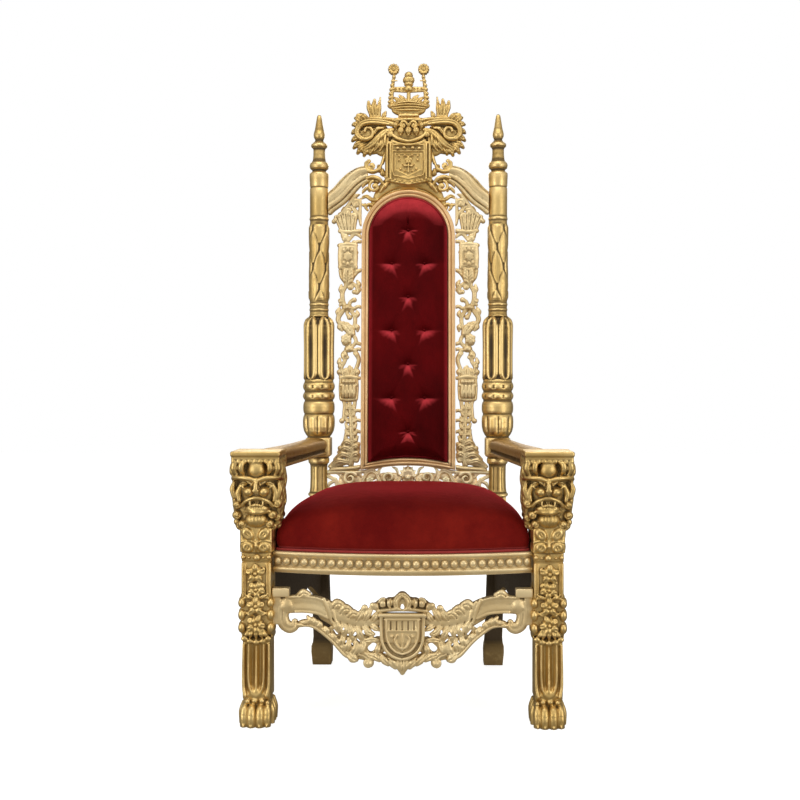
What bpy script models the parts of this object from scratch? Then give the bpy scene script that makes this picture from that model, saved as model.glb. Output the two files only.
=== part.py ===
"""Carved and gilded throne: lion-head arm posts, tufted velvet back, pierced panels and a crest.

The front faces -Y, +X is the viewer's right and +Z is up. The origin is on the floor under the
middle of the throne. Lengths are in metres. The back leans, so its panels are modelled upright
and parented to an empty that tips them about a line at seat height.
"""

import math

import bmesh
import bpy
from mathutils import Euler, Matrix, Vector

FIT = 0.0003            # air between flat pieces that touch
JOIN = 0.0012           # air between a carved piece and what is fastened to it

# Front legs, one carved post each from the paw to the lion's head
LEG_X = 0.3645
LEG_Y = -0.315
LEG_HALF = 0.0375
LEG_TOP = 0.683
HEAD_HALF = 0.0635
HEAD_BACK = 0.055
LEG_TRIANGLES = 1050

# Seat
RAIL_LOW = 0.376
RAIL_TOP = 0.430
RAIL_THICK = 0.032
RAIL_BOW = 0.050
RAIL_FRONT = -0.382
CUSHION_CROWN = 0.572
CUSHION_EDGE = 0.074    # height of the cushion's border
CUSHION_TUCK = 0.016    # how far the border leans in

# Back posts, from the foot to the tip of the finial
POST_X = 0.2735         # at seat height
POST_FOOT_X = 0.259
POST_TIP_X = 0.283
POST_TIP = 1.699
POST_Y = 0.243
RAKE = math.radians(4.5)
POST_SIDES = 8
POST_LEG_HALF = 0.026   # plain square leg under the seat
POST_BLOCK_HALF = 0.038 # square block that takes the arm
POST_SHAFT_HALF = 0.0295
FOOT_FORWARD = 0.022    # how far the foot stands ahead of the leg
FOOT_TOP = 0.060

# Arms
ARM_LOW = 0.632
ARM_TOP = 0.684
ARM_HALF = 0.037
ARM_BACK_X = 0.283

# Back panel, measured upright
PAD_HALF = 0.122
PAD_LOW = 0.6065
PAD_SPRING = 1.312      # where the round arch starts
PAD_SAG = 0.015         # rise of the bottom edge in the middle
FRAME_WIDTH = 0.0235
FRAME_DEPTH = 0.040
PAD_FRONT = 0.010       # pad's edge ahead of the frame's middle plane
PAD_CROWN = 0.022       # how far the pad's middle stands ahead of its edge
BUTTON_PITCH = 0.1045
BUTTON_SPREAD = 0.051
BUTTON_TOP = 1.326
BUTTON_HALF = 0.010
BUTTON_THICK = 0.0038

# Pierced panels
TRACERY_HALF = 0.012    # half the thickness of the band under the frame
FILIGREE_AXIS = 0.182

# Crest and crown
YOKE_RADIUS = 0.0300
YOKE_LOW = 1.386
CREST_BASE_HALF = 0.128
CROWN_LOW = 1.694

# Aprons
APRON_THICK = 0.018
APRON_DROP = 0.138      # mean depth of the side aprons
APRON_Y = -0.333
APRON_END = LEG_X - LEG_HALF - JOIN

GOLD = ("gilded_wood", (0.72, 0.50, 0.16), 0.34, 0.85)
PALE_GOLD = ("champagne_gilding", (0.74, 0.58, 0.30), 0.42, 0.75)
DARK_GOLD = ("shaded_gilding", (0.42, 0.27, 0.09), 0.40, 0.75)
VELVET = ("red_velvet", (0.30, 0.008, 0.016), 0.85, 0.0)


def clear_scene():
    for item in list(bpy.data.objects):
        bpy.data.objects.remove(item, do_unlink=True)


def material(recipe):
    name, colour, roughness, metallic = recipe
    found = bpy.data.materials.get(name)
    if found:
        return found
    made = bpy.data.materials.new(name)
    made.use_nodes = True
    shader = made.node_tree.nodes["Principled BSDF"]
    shader.inputs["Base Color"].default_value = (*colour, 1.0)
    shader.inputs["Roughness"].default_value = roughness
    shader.inputs["Metallic"].default_value = metallic
    made.diffuse_color = (*colour, 1.0)
    return made


def evaluated_mesh(item):
    bpy.context.view_layer.update()
    graph = bpy.context.evaluated_depsgraph_get()
    return bpy.data.meshes.new_from_object(item.evaluated_get(graph))


def scratch_object(data):
    item = bpy.data.objects.new("scratch", data)
    bpy.context.scene.collection.objects.link(item)
    return item


def place(name, mesh, recipe, location=(0, 0, 0), parent=None, smooth_below=50):
    mesh.name = name
    mesh.materials.clear()
    mesh.materials.append(material(recipe))
    mesh.shade_smooth()
    mesh.set_sharp_from_angle(angle=math.radians(smooth_below))
    item = bpy.data.objects.new(name, mesh)
    item.location = location
    item.parent = parent
    throne.objects.link(item)
    return item


def mesh_of(bm):
    bmesh.ops.recalc_face_normals(bm, faces=bm.faces)
    mesh = bpy.data.meshes.new("built")
    bm.to_mesh(mesh)
    bm.free()
    return mesh


def trimmed(mesh, low, high):
    """What is left of a closed mesh inside the box from low to high."""
    body = scratch_object(mesh)
    box = bmesh.new()
    bmesh.ops.create_cube(box, size=1.0, matrix=box_matrix(low, high))
    keeper = scratch_object(mesh_of(box))
    cut = body.modifiers.new("trim", "BOOLEAN")
    cut.operation = "INTERSECT"
    cut.object = keeper
    result = evaluated_mesh(body)
    for item in (body, keeper):
        bpy.data.objects.remove(item, do_unlink=True)
    return result


def box_matrix(low, high):
    low, high = Vector(low), Vector(high)
    return Matrix.Translation((low + high) / 2) @ Matrix.Diagonal((*(high - low), 1.0))


class Carving:
    """Overlapping closed lumps and tapered rods that a voxel remesh joins into one solid."""

    def __init__(self):
        self.lumps = bmesh.new()
        self.rods = bpy.data.curves.new("rods", "CURVE")
        self.rods.dimensions = "3D"
        self.rods.bevel_depth = 1.0
        self.rods.bevel_resolution = 1
        self.rods.resolution_u = 4
        self.rods.use_fill_caps = True

    def ball(self, centre, radii, turn=0.0):
        """An ellipsoid, turned about Y by the given angle."""
        turned = Matrix.Translation(centre) @ Matrix.Rotation(turn, 4, "Y")
        shape = turned @ Matrix.Diagonal((*radii, 1.0))
        bmesh.ops.create_icosphere(self.lumps, subdivisions=2, radius=1.0, matrix=shape)

    def block(self, low, high):
        bmesh.ops.create_cube(self.lumps, size=1.0, matrix=box_matrix(low, high))

    def rod(self, points, start, end):
        """A smooth rod through the points, its radius going from start to end."""
        spline = self.rods.splines.new("BEZIER")
        spline.bezier_points.add(len(points) - 1)
        for index, (knot, point) in enumerate(zip(spline.bezier_points, points)):
            share = index / (len(points) - 1)
            knot.co = point
            knot.radius = start + (end - start) * share
            knot.handle_left_type = "AUTO"
            knot.handle_right_type = "AUTO"

    def flat_rod(self, points, start, end, y=0.0, sides=(1,)):
        """A rod through (x, z) points in an upright panel, repeated with x times each side."""
        for side in sides:
            self.rod([(side * x, y, z) for x, z in points], start, end)

    def mesh(self, voxel, triangles, squash=1.0):
        """The joined solid with about the given number of triangles, its depth scaled by squash."""
        if self.rods.splines:
            rods = scratch_object(self.rods)
            tubes = evaluated_mesh(rods)
            bpy.data.objects.remove(rods, do_unlink=True)
            self.lumps.from_mesh(tubes)
            bmesh.ops.remove_doubles(self.lumps, verts=self.lumps.verts, dist=1e-5)
        body = scratch_object(mesh_of(self.lumps))
        body.data.transform(Matrix.Diagonal((1.0, squash, 1.0, 1.0)))
        join = body.modifiers.new("join", "REMESH")
        join.mode = "VOXEL"
        join.voxel_size = voxel
        dense = evaluated_mesh(body)
        dense.calc_loop_triangles()
        thin = body.modifiers.new("thin", "DECIMATE")
        thin.ratio = min(1.0, triangles / len(dense.loop_triangles))
        thin.use_collapse_triangulate = True
        result = evaluated_mesh(body)
        bpy.data.objects.remove(body, do_unlink=True)
        return result


def loft(sections, sides):
    """A closed skin over horizontal sections, each a list of as many (x, y, z) points as sides."""
    bm = bmesh.new()
    rings = [[bm.verts.new(point) for point in section] for section in sections]
    for below, above in zip(rings, rings[1:]):
        for index in range(sides):
            after = (index + 1) % sides
            bm.faces.new((below[index], below[after], above[after], above[index]))
    bm.faces.new(rings[0][::-1])
    bm.faces.new(rings[-1])
    bmesh.ops.triangulate(bm, faces=[face for face in bm.faces if len(face.verts) > 4])
    return mesh_of(bm)


def rounded_section(half_x, half_y, centre, z, sides, square, flute):
    """A ring between a circle (square 0) and a square (square 1), every second point set in by flute."""
    points = []
    for index in range(sides):
        angle = math.tau * (index + 0.5) / sides
        across, along = math.cos(angle), math.sin(angle)
        reach = max(abs(across), abs(along))
        swell = 1.0 + square * (1.0 / reach - 1.0)
        if index % 2:
            swell *= 1.0 - flute
        points.append((centre[0] + half_x * across * swell, centre[1] + half_y * along * swell, z))
    return points


def post_lean(z):
    """How far back the middle of a back post is at height z."""
    return POST_Y + max(0.0, z - RAIL_TOP) * math.tan(RAKE)


# Back post: height, half width, squareness and flute depth, from the foot up
POST_SECTIONS = (
    (0.000, 0.0285, 1.0, 0.0), (0.044, 0.0310, 1.0, 0.0), (0.058, 0.0310, 1.0, 0.0),
    (0.068, POST_LEG_HALF, 1.0, 0.0), (RAIL_TOP, POST_LEG_HALF, 1.0, 0.0),
    (0.500, POST_LEG_HALF, 1.0, 0.0), (0.508, 0.0330, 0.3, 0.0),
    (0.528, 0.0270, 0.0, 0.0), (0.598, 0.0265, 0.0, 0.0), (0.606, 0.0320, 0.0, 0.0),
    (0.6245, 0.0320, 0.0, 0.0), (0.6260, POST_BLOCK_HALF, 1.0, 0.0),
    (0.682, POST_BLOCK_HALF, 1.0, 0.0),
    (0.690, 0.0400, 0.2, 0.0), (0.712, 0.0480, 0.2, 0.05), (0.750, 0.0475, 0.2, 0.05),
    (0.770, 0.0455, 0.1, 0.0), (0.796, 0.0460, 0.1, 0.0), (0.810, 0.0500, 0.1, 0.0),
    (0.824, 0.0460, 0.1, 0.0), (0.840, 0.0500, 0.1, 0.0), (0.862, 0.0470, 0.2, 0.04),
    (0.884, 0.0460, 0.3, 0.08), (1.032, 0.0465, 0.2, 0.08), (1.052, 0.0350, 0.0, 0.0),
    (1.062, 0.0280, 0.0, 0.0), (1.080, 0.0320, 0.0, 0.0), (1.098, 0.0260, 0.0, 0.0),
    (1.150, 0.0310, 0.0, 0.10), (1.222, 0.0280, 0.0, 0.10), (1.290, 0.0310, 0.0, 0.10),
    (1.348, 0.0260, 0.0, 0.0), (1.371, 0.0315, 0.0, 0.0), (1.386, 0.0290, 0.0, 0.0),
    (1.508, 0.0310, 0.0, 0.0), (1.517, 0.0205, 0.0, 0.0), (1.527, 0.0300, 0.0, 0.0),
    (1.543, 0.0290, 0.0, 0.0), (1.553, 0.0195, 0.0, 0.0), (1.590, 0.0185, 0.0, 0.0),
    (1.600, 0.0258, 0.0, 0.0), (1.612, 0.0150, 0.0, 0.0), (1.635, 0.0178, 0.0, 0.0),
    (1.652, 0.0110, 0.0, 0.0), (1.699, 0.0035, 0.0, 0.0),
)


def post_spread(z):
    """How far the middle of a back post is from the throne's middle plane at height z."""
    if z <= RAIL_TOP:
        return POST_FOOT_X + (POST_X - POST_FOOT_X) * z / RAIL_TOP
    return POST_X + (POST_TIP_X - POST_X) * (z - RAIL_TOP) / (POST_TIP - RAIL_TOP)


def back_post(name, side):
    sections = []
    for z, half, square, flute in POST_SECTIONS:
        forward = FOOT_FORWARD if z <= FOOT_TOP else 0.0
        centre = (side * post_spread(z), post_lean(z) - forward)
        sections.append(rounded_section(half, half, centre, z, POST_SIDES, square, flute))
    place(name, loft(sections, POST_SIDES), GOLD)


def lion_head(carving):
    """Flat-topped mask with a domed brow, heavy muzzle, open jaws and a curled mane."""
    carving.block((-HEAD_HALF, -0.054, 0.662), (HEAD_HALF, 0.07, LEG_TOP))
    carving.ball((0, 0.005, 0.605), (0.064, 0.058, 0.085))
    carving.ball((0, 0.010, 0.515), (0.054, 0.050, 0.045))
    carving.ball((0, -0.034, 0.632), (0.046, 0.026, 0.030))
    carving.ball((0, -0.048, 0.606), (0.016, 0.016, 0.026))
    carving.ball((0, -0.040, 0.575), (0.040, 0.022, 0.022))
    carving.ball((0, -0.042, 0.530), (0.030, 0.022, 0.017))
    carving.ball((0, -0.036, 0.506), (0.020, 0.018, 0.018))
    for side in (-1, 1):
        carving.ball((side * 0.0165, -0.054, 0.585), (0.0165, 0.014, 0.015))
        carving.ball((side * 0.056, -0.026, 0.638), (0.014, 0.018, 0.021))
        carving.ball((side * 0.031, -0.045, 0.610), (0.013, 0.010, 0.009))
        jaw = [(side * 0.012, -0.050, 0.566), (side * 0.032, -0.044, 0.558), (side * 0.036, -0.036, 0.540)]
        carving.rod(jaw, 0.006, 0.006)
        for row, drop in enumerate((0.616, 0.580, 0.545)):
            for lock in range(3):
                y = -0.020 + 0.026 * lock
                carving.ball((side * (0.060 - 0.003 * row), y, drop), (0.012, 0.014, 0.022), side * 0.25)
        carving.ball((side * 0.050, -0.024, 0.540), (0.016, 0.020, 0.018))
        carving.ball((side * 0.040, -0.026, 0.505), (0.016, 0.018, 0.022), side * 0.4)


def leg_carving(carving):
    """Shaft from the neck down: almond leaves, beads, flowers, bosses and a fluted tongue."""
    front = -LEG_HALF
    carving.block((front + 0.0015, front + 0.0015, 0.222), (LEG_HALF - 0.0015, LEG_HALF, 0.500))
    carving.block((front + 0.001, front, 0.040), (LEG_HALF - 0.001, LEG_HALF - 0.002, 0.226))
    for side in (-1, 1):
        carving.ball((side * 0.0185, front, 0.458), (0.016, 0.010, 0.031), side * -0.12)
        carving.ball((side * 0.031, front, 0.421), (0.007, 0.007, 0.007))
        border = side * 0.031
        carving.block((border - 0.005, front - 0.002, 0.322), (border + 0.005, front + 0.02, 0.406))
        for boss in (0.267, 0.305):
            carving.ball((side * 0.0280, front + 0.001, boss), (0.0095, 0.009, 0.012))
        for lane in (0.010, 0.022):
            path = [(side * lane, front - 0.001, 0.216), (side * lane, front - 0.003, 0.130)]
            carving.rod([*path, (side * lane * 0.5, front - 0.002, 0.112 - lane)], 0.005, 0.005)
    carving.ball((0, front - 0.001, 0.421), (0.010, 0.009, 0.010))
    for flower in (0.346, 0.384):
        carving.ball((-0.004, front, flower), (0.019, 0.009, 0.018))
    for flower in (0.267, 0.305):
        carving.ball((0, front, flower), (0.017, 0.009, 0.016))
    carving.ball((0, front + 0.006, 0.238), (0.038, 0.012, 0.014))


def paw(carving):
    carving.block((-0.0365, -0.048, -0.010), (0.0365, LEG_HALF - 0.002, 0.050))
    for toe in (-1.5, -0.5, 0.5, 1.5):
        reach = 0.004 if abs(toe) < 1 else 0.0
        carving.ball((toe * 0.0200, -0.040 - reach, 0.018), (0.0112, 0.026, 0.034))
        carving.ball((toe * 0.0192, -0.040 - reach, 0.064), (0.0105, 0.012, 0.014))


def front_legs():
    carving = Carving()
    lion_head(carving)
    leg_carving(carving)
    paw(carving)
    solid = trimmed(carving.mesh(0.0032, LEG_TRIANGLES), (-1, -1, 0), (1, HEAD_BACK, LEG_TOP))
    twin = solid.copy()
    twin.transform(Matrix.Scale(-1, 4, (1, 0, 0)))
    twin.flip_normals()
    place("front_leg_left", solid, GOLD, (-LEG_X, LEG_Y, 0))
    place("front_leg_right", twin, GOLD, (LEG_X, LEG_Y, 0))


def arms():
    """Straight rails with rounded top edges, a little closer together at the back."""
    front_y = LEG_Y + HEAD_BACK + FIT
    shoulder = ARM_TOP - 0.014
    outline = (
        (-1, ARM_LOW), (1, ARM_LOW), (1, shoulder), (0.72, ARM_TOP), (-0.72, ARM_TOP), (-1, shoulder),
    )
    for name, side in (("arm_left", -1), ("arm_right", 1)):
        sections = []
        back_y = post_lean(ARM_LOW) - POST_BLOCK_HALF - JOIN
        for y, x in ((front_y, LEG_X - 0.018), (back_y, ARM_BACK_X)):
            sections.append([(side * x + across * ARM_HALF, y, z) for across, z in outline])
        place(name, loft(sections, 6), DARK_GOLD)


def front_rail():
    """A moulding swept along the bow of the seat's front."""
    radius = (APRON_END ** 2 + RAIL_BOW ** 2) / (2 * RAIL_BOW)
    sweep = math.asin(APRON_END / radius)
    top, low, middle = RAIL_TOP, RAIL_LOW, (RAIL_TOP + RAIL_LOW) / 2
    outline = [
        (0.0, top), (RAIL_THICK, top), (RAIL_THICK, low), (0.0, low), (0.0, low + 0.014),
        (0.007, low + 0.017), (0.007, middle + 0.009), (0.0, middle + 0.012),
    ]
    bm = bmesh.new()
    first = [bm.verts.new((0.0, inward - radius, z)) for inward, z in outline]
    rim = [bm.edges.new((first[index - 1], first[index])) for index in range(len(first))]
    bmesh.ops.rotate(bm, verts=bm.verts, matrix=Matrix.Rotation(-sweep, 3, "Z"))
    bmesh.ops.spin(bm, geom=[*first, *rim], axis=(0, 0, 1), angle=2 * sweep, steps=12)
    bmesh.ops.holes_fill(bm, edges=bm.edges, sides=len(outline))
    bmesh.ops.translate(bm, verts=bm.verts, vec=(0, RAIL_FRONT + radius, 0))
    mesh = trimmed(mesh_of(bm), (-APRON_END, -1, 0), (APRON_END, 1, 1))
    place("front_rail", mesh, PALE_GOLD)


def board_between(name, start, end, low, high, thick, recipe, bevel=0.003):
    """An upright board from start to end, given as (x, y), with softened edges."""
    start, end = Vector(start), Vector(end)
    run = end - start
    bm = bmesh.new()
    bmesh.ops.create_cube(bm, size=1.0, matrix=Matrix.Diagonal((run.length, thick, high - low, 1.0)))
    item = place(name, mesh_of(bm), recipe)
    item.location = (*((start + end) / 2), (low + high) / 2)
    item.rotation_euler = (0, 0, math.atan2(run.y, run.x))
    edge = item.modifiers.new("edge", "BEVEL")
    edge.width = bevel
    edge.segments = 1
    return item


def side_run(side, thick):
    """Ends of the middle line of a side board that just clears the front leg and the back post."""
    front = Vector((side * (LEG_X - 0.014), LEG_Y + LEG_HALF + JOIN))
    back = Vector((side * (POST_X - 0.003), post_lean(RAIL_TOP) - POST_LEG_HALF - JOIN))
    run = back - front
    corner = abs(run.x / run.y) * thick / 2
    return front + Vector((0, corner)), back - Vector((0, corner))


def seat_rails():
    for name, side in (("side_rail_left", -1), ("side_rail_right", 1)):
        start, end = side_run(side, RAIL_THICK)
        board_between(name, start, end, RAIL_LOW, RAIL_TOP, RAIL_THICK, GOLD)
    inner = post_spread(RAIL_LOW) - POST_LEG_HALF - JOIN
    board_between("back_rail", (-inner, POST_Y), (inner, POST_Y), RAIL_LOW, RAIL_TOP, 0.036, GOLD)


def side_aprons():
    """Boards with a cyma lower edge under the side rails."""
    high = RAIL_LOW - FIT
    steps = 20
    for name, side in (("side_apron_left", -1), ("side_apron_right", 1)):
        start, end = side_run(side, APRON_THICK)
        run = end - start
        bm = bmesh.new()
        outline = [(run.length / 2, high), (-run.length / 2, high)]
        for index in range(steps + 1):
            share = index / steps
            drop = APRON_DROP + 0.018 * math.cos(math.tau * 2 * share) + 0.010 * math.cos(math.tau * share)
            outline.append(((share - 0.5) * run.length, high - drop))
        face = bm.faces.new([bm.verts.new((u, -APRON_THICK / 2, z)) for u, z in outline])
        grown = bmesh.ops.extrude_face_region(bm, geom=[face])
        moved = [v for v in grown["geom"] if isinstance(v, bmesh.types.BMVert)]
        bmesh.ops.translate(bm, verts=moved, vec=(0, APRON_THICK, 0))
        item = place(name, mesh_of(bm), GOLD, (*((start + end) / 2), 0))
        item.rotation_euler = (0, 0, math.atan2(run.y, run.x))


def seat_cushion():
    """A deep domed seat on a bowed, tapering plan."""
    across, along = 10, 8
    bm = bmesh.new()
    bmesh.ops.create_grid(bm, x_segments=across, y_segments=along, size=1.0)
    bottom = bmesh.ops.extrude_face_region(bm, geom=bm.faces[:])
    top = {v for v in bottom["geom"] if isinstance(v, bmesh.types.BMVert)}
    front_half = APRON_END - 0.010
    back_half = POST_X - 0.012
    back_y = POST_Y - 0.030
    for vert in bm.verts:
        u, v = vert.co.x, (vert.co.y + 1) / 2
        bow = RAIL_BOW * (1 - u * u)
        front_y = RAIL_FRONT + RAIL_BOW + 0.006 - bow
        half = front_half + (back_half - front_half) * v ** 1.6
        depth = back_y - front_y
        z = RAIL_TOP + FIT
        if vert in top:
            crown = (1 - abs(u) ** 4) * (1 - abs(2 * v - 1) ** 3.2)
            z += CUSHION_EDGE + (CUSHION_CROWN - RAIL_TOP - CUSHION_EDGE) * crown
            half -= CUSHION_TUCK
            front_y += CUSHION_TUCK * (1 - v)
        vert.co = (u * half, front_y + depth * v, z)
    place("seat_cushion", mesh_of(bm), VELVET)


def arch_outline(half, low, spring, sag, arc_steps):
    """Points of a panel with a round top and a bottom edge that rises by sag in the middle."""
    points = []
    for index in range(arc_steps + 1):
        angle = math.pi * index / arc_steps
        points.append((half * math.cos(angle), spring + half * math.sin(angle)))
    base_steps = 6
    for index in range(base_steps + 1):
        share = -1 + 2 * index / base_steps
        points.append((half * share, low + sag * (1 - share * share)))
    return points


def back_frame(tilt):
    """The arched moulding, stepped from an outer to an inner band."""
    outer = arch_outline(PAD_HALF + FRAME_WIDTH, PAD_LOW - FRAME_WIDTH, PAD_SPRING, PAD_SAG, 16)
    inner = arch_outline(PAD_HALF + FIT, PAD_LOW, PAD_SPRING, PAD_SAG, 16)
    curve = bpy.data.curves.new("frame_outline", "CURVE")
    curve.dimensions = "2D"
    curve.fill_mode = "BOTH"
    curve.extrude = FRAME_DEPTH / 2
    for points in (outer, inner):
        spline = curve.splines.new("POLY")
        spline.points.add(len(points) - 1)
        for knot, (x, z) in zip(spline.points, points):
            knot.co = (x, z, 0, 1)
        spline.use_cyclic_u = True
    flat = scratch_object(curve)
    flat.rotation_euler = (math.pi / 2, 0, 0)
    mesh = evaluated_mesh(flat)
    mesh.transform(Matrix.Rotation(math.pi / 2, 4, "X"))
    bpy.data.objects.remove(flat, do_unlink=True)
    bm = bmesh.new()
    bm.from_mesh(mesh)
    bmesh.ops.remove_doubles(bm, verts=bm.verts, dist=1e-5)
    place("back_frame", mesh_of(bm), PALE_GOLD, parent=tilt)


def button_places():
    """Middle of each covered button, as (x, z), in a diamond grid."""
    places = []
    for row in range(7):
        z = BUTTON_TOP - row * BUTTON_PITCH
        if row % 2:
            places += [(-BUTTON_SPREAD, z), (BUTTON_SPREAD, z)]
        else:
            places.append((0.0, z))
    return places


def back_pad(tilt):
    """The upholstered panel, domed forward from its edge."""
    outline = arch_outline(PAD_HALF - FIT, PAD_LOW + FIT, PAD_SPRING, PAD_SAG, 16)
    front = PAD_FRONT + PAD_CROWN
    layers = ((1.0, 0.016), (1.0, -PAD_FRONT), (0.90, -front + 0.006), (0.70, -front))
    sections = []
    for share, y in layers:
        ring = []
        for x, z in outline:
            spine = min(max(z, PAD_LOW + PAD_HALF), PAD_SPRING)
            ring.append((x * share, y, spine + (z - spine) * share))
        sections.append(ring)
    place("back_pad", loft(sections, len(outline)), VELVET, parent=tilt)
    for index, (x, z) in enumerate(button_places(), start=1):
        bm = bmesh.new()
        middle = (x, -front - FIT - BUTTON_THICK, z)
        shape = Matrix.Translation(middle) @ Matrix.Diagonal((BUTTON_HALF, BUTTON_THICK, BUTTON_HALF, 1.0))
        bmesh.ops.create_uvsphere(bm, u_segments=6, v_segments=4, radius=1.0, matrix=shape)
        place(f"back_button_{index}", mesh_of(bm), VELVET, parent=tilt)


def open_loop(carving, side, high, low, swing):
    """Two stems that part below high, bow out by swing and meet again above low."""
    middle = (high + low) / 2
    for way in (-1, 1):
        bulge = FILIGREE_AXIS + way * swing
        points = [(FILIGREE_AXIS, high), (bulge, middle), (FILIGREE_AXIS, low)]
        carving.flat_rod(points, 0.0052, 0.0052, sides=(side,))


def filigree(name, side, tilt):
    """A chain of cups, shields, flowers and open loops, tied to the frame by short bars."""
    carving = Carving()
    axis = FILIGREE_AXIS

    def lump(x, z, half_x, half_z, depth=0.011):
        carving.ball((side * x, 0, z), (half_x, depth, half_z))

    spandrel = (
        [(0.150, 1.330), (0.166, 1.366), (0.162, 1.402), (0.138, 1.434)],
        [(0.185, 1.350), (0.176, 1.392), (0.150, 1.398)],
        [(0.190, 1.362), (0.202, 1.380), (0.204, 1.398)],
        [(0.234, 1.356), (0.214, 1.384), (0.190, 1.412), (0.160, 1.440), (0.138, 1.458)],
        [(0.162, 1.402), (0.160, 1.440)],
    )
    for points in spandrel:
        carving.flat_rod(points, 0.0075, 0.0060, sides=(side,))
    lump(0.158, 1.412, 0.013, 0.020)
    lump(0.190, 1.344, 0.023, 0.027)
    carving.flat_rod([(0.190, 1.330), (0.172, 1.312), (axis, 1.290)], 0.0065, 0.0065, sides=(side,))
    carving.block((side * 0.188 - 0.022, -0.009, 1.224), (side * 0.188 + 0.022, 0.011, 1.290))
    lump(0.188, 1.204, 0.022, 0.020)
    open_loop(carving, side, 1.190, 1.108, 0.024)
    lump(axis, 1.104, 0.012, 0.012)
    open_loop(carving, side, 1.100, 1.034, 0.023)
    lump(axis, 1.028, 0.018, 0.013)
    lump(axis, 0.980, 0.020, 0.020)
    carving.flat_rod([(axis, 1.030), (axis, 0.940)], 0.008, 0.007, sides=(side,))
    lump(axis, 0.944, 0.020, 0.010)
    open_loop(carving, side, 0.938, 0.868, 0.023)
    carving.block((side * axis - 0.022, -0.009, 0.808), (side * axis + 0.022, 0.011, 0.864))
    lump(axis, 0.800, 0.018, 0.016)
    carving.flat_rod([(axis, 0.800), (axis - 0.004, 0.720), (axis, 0.600)], 0.009, 0.011, sides=(side,))
    for leaf in range(4):
        z = 0.750 - 0.044 * leaf
        reach = 0.020 + 0.005 * leaf
        for way in (-1, 1):
            tip = min(axis + way * reach, 0.236)
            points = [(axis, z), (axis + way * reach * 0.6, z + 0.004), (tip, z + 0.020)]
            carving.flat_rod(points, 0.0085, 0.0050, sides=(side,))
    roots = (
        [(axis, 0.612), (0.204, 0.604), (0.2355, 0.622)],
        [(0.150, 0.606), (0.190, 0.592), (0.2355, 0.596)],
    )
    for points in roots:
        carving.flat_rod(points, 0.009, 0.007, sides=(side,))
    for tie in (1.330, 1.258, 1.150, 1.068, 0.980, 0.904, 0.836, 0.766, 0.690):
        carving.flat_rod([(0.150, tie), (axis, tie)], 0.0055, 0.0055, sides=(side,))
    solid = carving.mesh(0.0030, 730)
    edge = PAD_HALF + FRAME_WIDTH + JOIN
    low, high = sorted((side * edge, side * (POST_X - POST_BLOCK_HALF - JOIN)))
    place(name, trimmed(solid, (low, -1, 0.5855), (high, 1, 1.45)), GOLD, parent=tilt)


def lower_tracery(tilt):
    """A pierced scroll band on a plain rail, under the frame."""
    carving = Carving()
    half = POST_X - POST_BLOCK_HALF - JOIN
    frame_low = PAD_LOW - FRAME_WIDTH
    carving.block((-half, -TRACERY_HALF, RAIL_TOP), (half, TRACERY_HALF, 0.462))
    for side in (-1, 1):
        bands = (
            [(0.0, 0.566), (0.034, 0.548), (0.070, 0.566), (0.104, 0.552)],
            [(0.104, 0.552), (0.150, 0.560), (0.190, 0.552), (half, 0.566)],
            [(0.0, 0.530), (0.060, 0.536), (0.120, 0.524), (half, 0.532)],
        )
        for points in bands:
            carving.flat_rod(points, 0.0075, 0.0080, sides=(side,))
        for x in (0.030, 0.085, 0.140, 0.195):
            strut = [(x, 0.455), (x - 0.012, 0.500), (x + 0.008, 0.555)]
            carving.flat_rod(strut, 0.007, 0.007, sides=(side,))
            carving.ball((side * x, 0, 0.545), (0.016, 0.010, 0.014))
    carving.flat_rod([(0.0, 0.455), (0.0, 0.566)], 0.010, 0.010)
    solid = carving.mesh(0.0034, 360)
    high = frame_low - JOIN
    low = RAIL_TOP + TRACERY_HALF * math.sin(RAKE) + FIT
    place("lower_tracery", trimmed(solid, (-half, -1, low), (half, 1, high)), GOLD, parent=tilt)


def yokes(tilt):
    """S-curved arms from the posts up to the crest."""
    for name, side in (("yoke_left", -1), ("yoke_right", 1)):
        carving = Carving()
        path = [
            (0.300, 1.392), (0.253, 1.420), (0.214, 1.451), (0.174, 1.494), (0.141, 1.515), (0.090, 1.522),
        ]
        carving.flat_rod(path, YOKE_RADIUS, YOKE_RADIUS, sides=(side,))
        solid = carving.mesh(0.0060, 180, squash=0.85)
        post_face = post_spread(YOKE_LOW) - POST_SHAFT_HALF - JOIN
        low, high = sorted((side * (CREST_BASE_HALF + JOIN), side * post_face))
        place(name, trimmed(solid, (low, -1, 1), (high, 1, 2)), GOLD, parent=tilt)


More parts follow.
